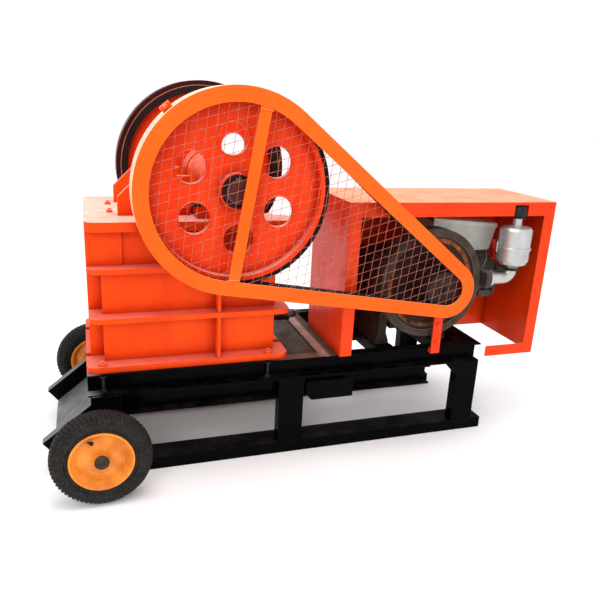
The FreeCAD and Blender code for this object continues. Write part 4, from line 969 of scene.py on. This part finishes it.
def make_engine_dress():
    """Covers, bolts, fins, pipes and small castings on the engine's block and head."""
    block_low, block_high = low("engine_block"), high("engine_block")
    front, back = block_low.y, block_high.y
    cover, bolts = Shape(), Shape()
    for left, right, bottom, top in ((1.15, 1.24, 0.60, 0.74), (1.40, 1.49, 0.585, 0.66)):
        cover.block((left, front - 0.008, bottom), (right, front, top))
        cover.block((left + 0.012, front - 0.014, bottom + 0.012),
                    (right - 0.012, front - 0.008, top - 0.012))
        for along in (left + 0.006, right - 0.006):
            for up in (bottom + 0.006, top - 0.006):
                bolts.bolt((along, front - 0.008, up), -Y, 0.008)
    for along in (1.16, 1.2, 1.24, 1.28):
        cover.block((along, front + 0.03, block_high.z - 0.001),
                    (along + 0.006, back - 0.03, block_high.z + 0.008))
    cover.block((block_low.x - 0.008, front + 0.04, 0.60), (block_low.x, back - 0.04, 0.73))
    cover.piece("engine_covers", "brown_iron", "engine_iron", 0.0025)
    for start in (low("engine_feet").x, high("engine_feet").x - 0.062):
        for edge in (0.006, 0.056):
            for y in (0.1, 0.31):
                bolts.bolt((start + edge, y, DECK.z + 0.014), Z, 0.0085, 0.008)
    head = front + 0.025
    for along, up in ((1.60, 0.745), (1.60, 0.61), (1.68, 0.61), (1.64, 0.61), (1.64, 0.745)):
        bolts.bolt((along, head, up), -Y, 0.009, 0.006)
    for y in (0.14, 0.205, 0.27):
        for up in (0.62, 0.715):
            bolts.bolt((high("cylinder_head").x, y, up), X, 0.008, 0.004)
    bolts.piece("engine_bolts", "bolt_dark", "axle_steel")
    fins = Shape()
    for step in range(5):
        start = 1.507 + step * 0.0095
        fins.block((start, front + 0.03, 0.596), (start + 0.004, back - 0.03, 0.764))
    fins.piece("barrel_fins", "iron", "engine_iron", 0.0008)
    lumps = Shape()
    for start, end in (
            ((1.568, head - 0.012, 0.664), (1.66, head, 0.752)),
            ((1.56, head - 0.02, 0.60), (1.598, head, 0.652)),
            ((1.612, head - 0.016, 0.583), (1.676, head + 0.04, 0.612)),
            ((1.57, head + 0.015, 0.765), (1.662, back - 0.04, 0.7845)),
            ((1.545, front - 0.006, 0.58), (1.572, front + 0.06, 0.63)),
            ((1.664, head + 0.012, 0.64), (1.712, head + 0.05, 0.70))):
        lumps.block(start, end)
    lumps.piece("head_castings", "iron", "engine_iron", 0.006)
    bosses = Shape()
    bosses.lathe((1.645, head, 0.68), -Y, [(0.026, 0), (0.026, 0.014), (0.02, 0.018),
                                           (0.02, 0.03), (0.012, 0.034)], 28)
    bosses.lathe((1.60, head, 0.64), -Y, [(0.011, 0), (0.011, 0.01), (0.007, 0.013),
                                          (0.007, 0.022)], 20)
    bosses.piece("head_bosses", "iron", "engine_iron", 0.001)
    pipes = Shape()
    pipes.tube(smooth_path([(1.63, 0.112, 0.79), (1.63, 0.098, 0.775), (1.628, 0.094, 0.745),
                            (1.61, 0.094, 0.70), (1.605, 0.098, 0.66), (1.60, 0.09, 0.642)]),
               0.0032, 8)
    pipes.tube(smooth_path([(1.60, 0.084, 0.64), (1.585, 0.07, 0.628), (1.556, 0.066, 0.62),
                            (1.53, 0.075, 0.612), (1.50, 0.09, 0.61), (1.492, 0.1, 0.61)]),
               0.0028, 8)
    pipes.piece("fuel_pipes", "bolt", "axle_steel", 0)
    red = Shape()
    red.lathe((1.662, 0.088, 0.775), (-0.12, -0.05, 1),
              [(0.007, -0.012), (0.007, 0.02), (0.011, 0.024), (0.0125, 0.05), (0.009, 0.062)],
              20)
    red.lathe((1.655, 0.1, 0.752), (0.5, -0.6, 0.3),
              [(0.004, 0), (0.004, 0.018), (0.009, 0.02), (0.009, 0.028), (0.005, 0.031)], 18)
    red.lathe((1.694, 0.1, 0.722), (0.1, -1, 0.3),
              [(0.009, 0), (0.0105, 0.016), (0.007, 0.024)], 18)
    red.piece("red_fittings", "red_fitting", "casting_paint")


def make_tank_dress():
    """The tank's top lip, filler cap and rolled seam."""
    tank_low, tank_high = low("fuel_tank"), high("fuel_tank")
    front, back = tank_low.y, tank_high.y
    start = Vector((tank_low.x, 0, tank_high.z))
    end = Vector((tank_high.x, 0, tank_high.z - 0.026))
    lip = Shape()
    lip.rings([[Vector((p.x, y, p.z + dz)) for y, dz in (
        (front - 0.004, -0.018), (front - 0.004, -0.002), (front + 0.004, 0.0015),
        (back - 0.004, 0.0015), (back + 0.004, -0.002), (back + 0.004, -0.018))]
               for p in (start, start.lerp(end, 0.5), end)])
    lip.piece("tank_lip", "tank_top", "tank_paint", 0.0015)
    cap = Shape()
    cap.lathe((1.46, 0.24, tank_high.z - 0.009), Z,
              [(0.03, 0), (0.03, 0.008), (0.026, 0.01), (0.026, 0.014), (0.034, 0.015),
               (0.035, 0.018), (0.035, 0.03), (0.032, 0.034), (0.012, 0.036)], 36)
    cap.piece("tank_cap", "black_fitting", "tank_paint")
    seam = Shape()
    seam.tube([(along, front - 0.0006, tank_low.z + 0.024) for along in (1.45, 1.63)],
              0.0016, 8)
    seam.piece("tank_seam", "tank", "tank_paint", 0)


def make_cleaner_dress():
    """The cleaner's bands and clips, rubber rain cap, sleeve with its clamp, and elbow bolts."""
    spot = middle("air_cleaner")
    bottom, top = low("air_cleaner").z, high("air_cleaner").z
    axis = Vector((spot.x, spot.y, 0))
    base = axis + Z * bottom
    band = Shape()
    band.hoop(base + Z * 0.072, Z, [(0.0655, -0.006), (0.0678, -0.0055), (0.0685, 0),
                                    (0.0678, 0.0055), (0.0655, 0.006)], 72)
    band.hoop(base + Z * 0.146, Z, [(0.0636, -0.002), (0.0652, 0), (0.0636, 0.002)], 72)
    for angle in (20, 160):
        turn = math.radians(angle)
        out = Vector((math.cos(turn), math.sin(turn), 0))
        side = Vector((-out.y, out.x, 0))
        corners = [base + out * 0.066 - side * 0.006, base + out * 0.066 + side * 0.006,
                   base + out * 0.0705 + side * 0.005, base + out * 0.0705 - side * 0.005]
        band.rings([[corner + Z * up for corner in corners] for up in (0.05, 0.094)])
    band.piece("cleaner_band", "cleaner", "cleaner_metal")
    cap = Shape()
    cap.hoop(axis + Z * top, Z,
             [(0.0262, -0.044), (0.0285, -0.041), (0.0305, -0.032), (0.0305, -0.02),
              (0.0285, -0.01), (0.023, -0.002), (0.013, 0.003), (0.0005, 0.0045),
              (0.0005, 0.0004), (0.0262, 0.0004)])
    cap.hoop(axis + Z * (top - 0.048), Z, [(0.0183, 0), (0.0288, 0), (0.0288, 0.004),
                                           (0.0183, 0.004)])
    cap.piece("rain_cap", "black_fitting", "cleaner_metal", 0.0004)
    sleeve = Shape()
    sleeve.hoop(base - Z * 0.014, Z, [(0.0262, -0.008), (0.029, -0.009), (0.03, 0),
                                      (0.029, 0.012), (0.0262, 0.0138)])
    sleeve.lathe(base + Vector((-0.058, 0.004, -0.018)), Z,
                 [(0.012, -0.006), (0.018, -0.004), (0.02, 0.004), (0.018, 0.012),
                  (0.008, 0.016)])
    sleeve.tube(smooth_path([base + Vector(step) for step in (
        (-0.028, 0, -0.014), (-0.04, 0.003, -0.013), (-0.052, 0.004, -0.016))]), 0.007, 12)
    sleeve.piece("cleaner_sleeve", "black_fitting", "belt_rubber")
    clips = Shape()
    elbow = low("intake_elbow") + Vector((0.008, 0, 0.035))
    for angle in (45, 135, 225, 315):
        turn = math.radians(angle)
        clips.bolt((elbow.x, spot.y + math.cos(turn) * 0.0302,
                    elbow.z + math.sin(turn) * 0.0302), X, 0.0045)
    clips.hoop(base - Z * 0.006, Z, [(0.0295, -0.004), (0.031, -0.004), (0.031, 0.004),
                                     (0.0295, 0.004)])
    clips.piece("elbow_clips", "bolt", "axle_steel", 0.0003)


# ---------------- hood trim

def make_trim():
    """Rolled edges round the hood's open front, and ribs on its back."""
    left, right = low("hood_left").x + 0.002, high("hood_right").x - 0.002
    top = high("hood_roof").z
    y = low("hood_lips").y + 0.001
    folds = Shape()
    for start, end, from_z in ((left, left, DECK.z + 0.002),
                               (right, right, low("hood_right").z + 0.002),
                               (left, right, top - 0.002)):
        folds.tube([(start, y, from_z), (end, y, top - 0.002)], 0.002)
    folds.piece("hood_folds", "hood", "hood_paint", 0)
    ribs = Shape()
    back = high("hood_back").y - 0.003
    for along in (1.25, 1.6):
        ribs.rings([[(along, back - 0.001, z), (along + 0.02, back - 0.001, z),
                     (along + 0.015, back - 0.01, z), (along + 0.005, back - 0.01, z)]
                    for z in (DECK.z + 0.05, top - 0.05)])
    ribs.piece("hood_ribs", "hood", "hood_paint", 0.001)


make_camera()
make_studio()
make_finishes()
dress_nodes()
for SIDE in ("front", "back"):
    make_tyre(SIDE)
    make_wheel_fittings(SIDE)
make_crusher_bolts()
make_guard_fixings()
make_welds()
make_tension_spring()
make_rotor_fittings()
make_engine_rotor()
make_engine_dress()
make_tank_dress()
make_cleaner_dress()
make_trim()
make_woven_wire()
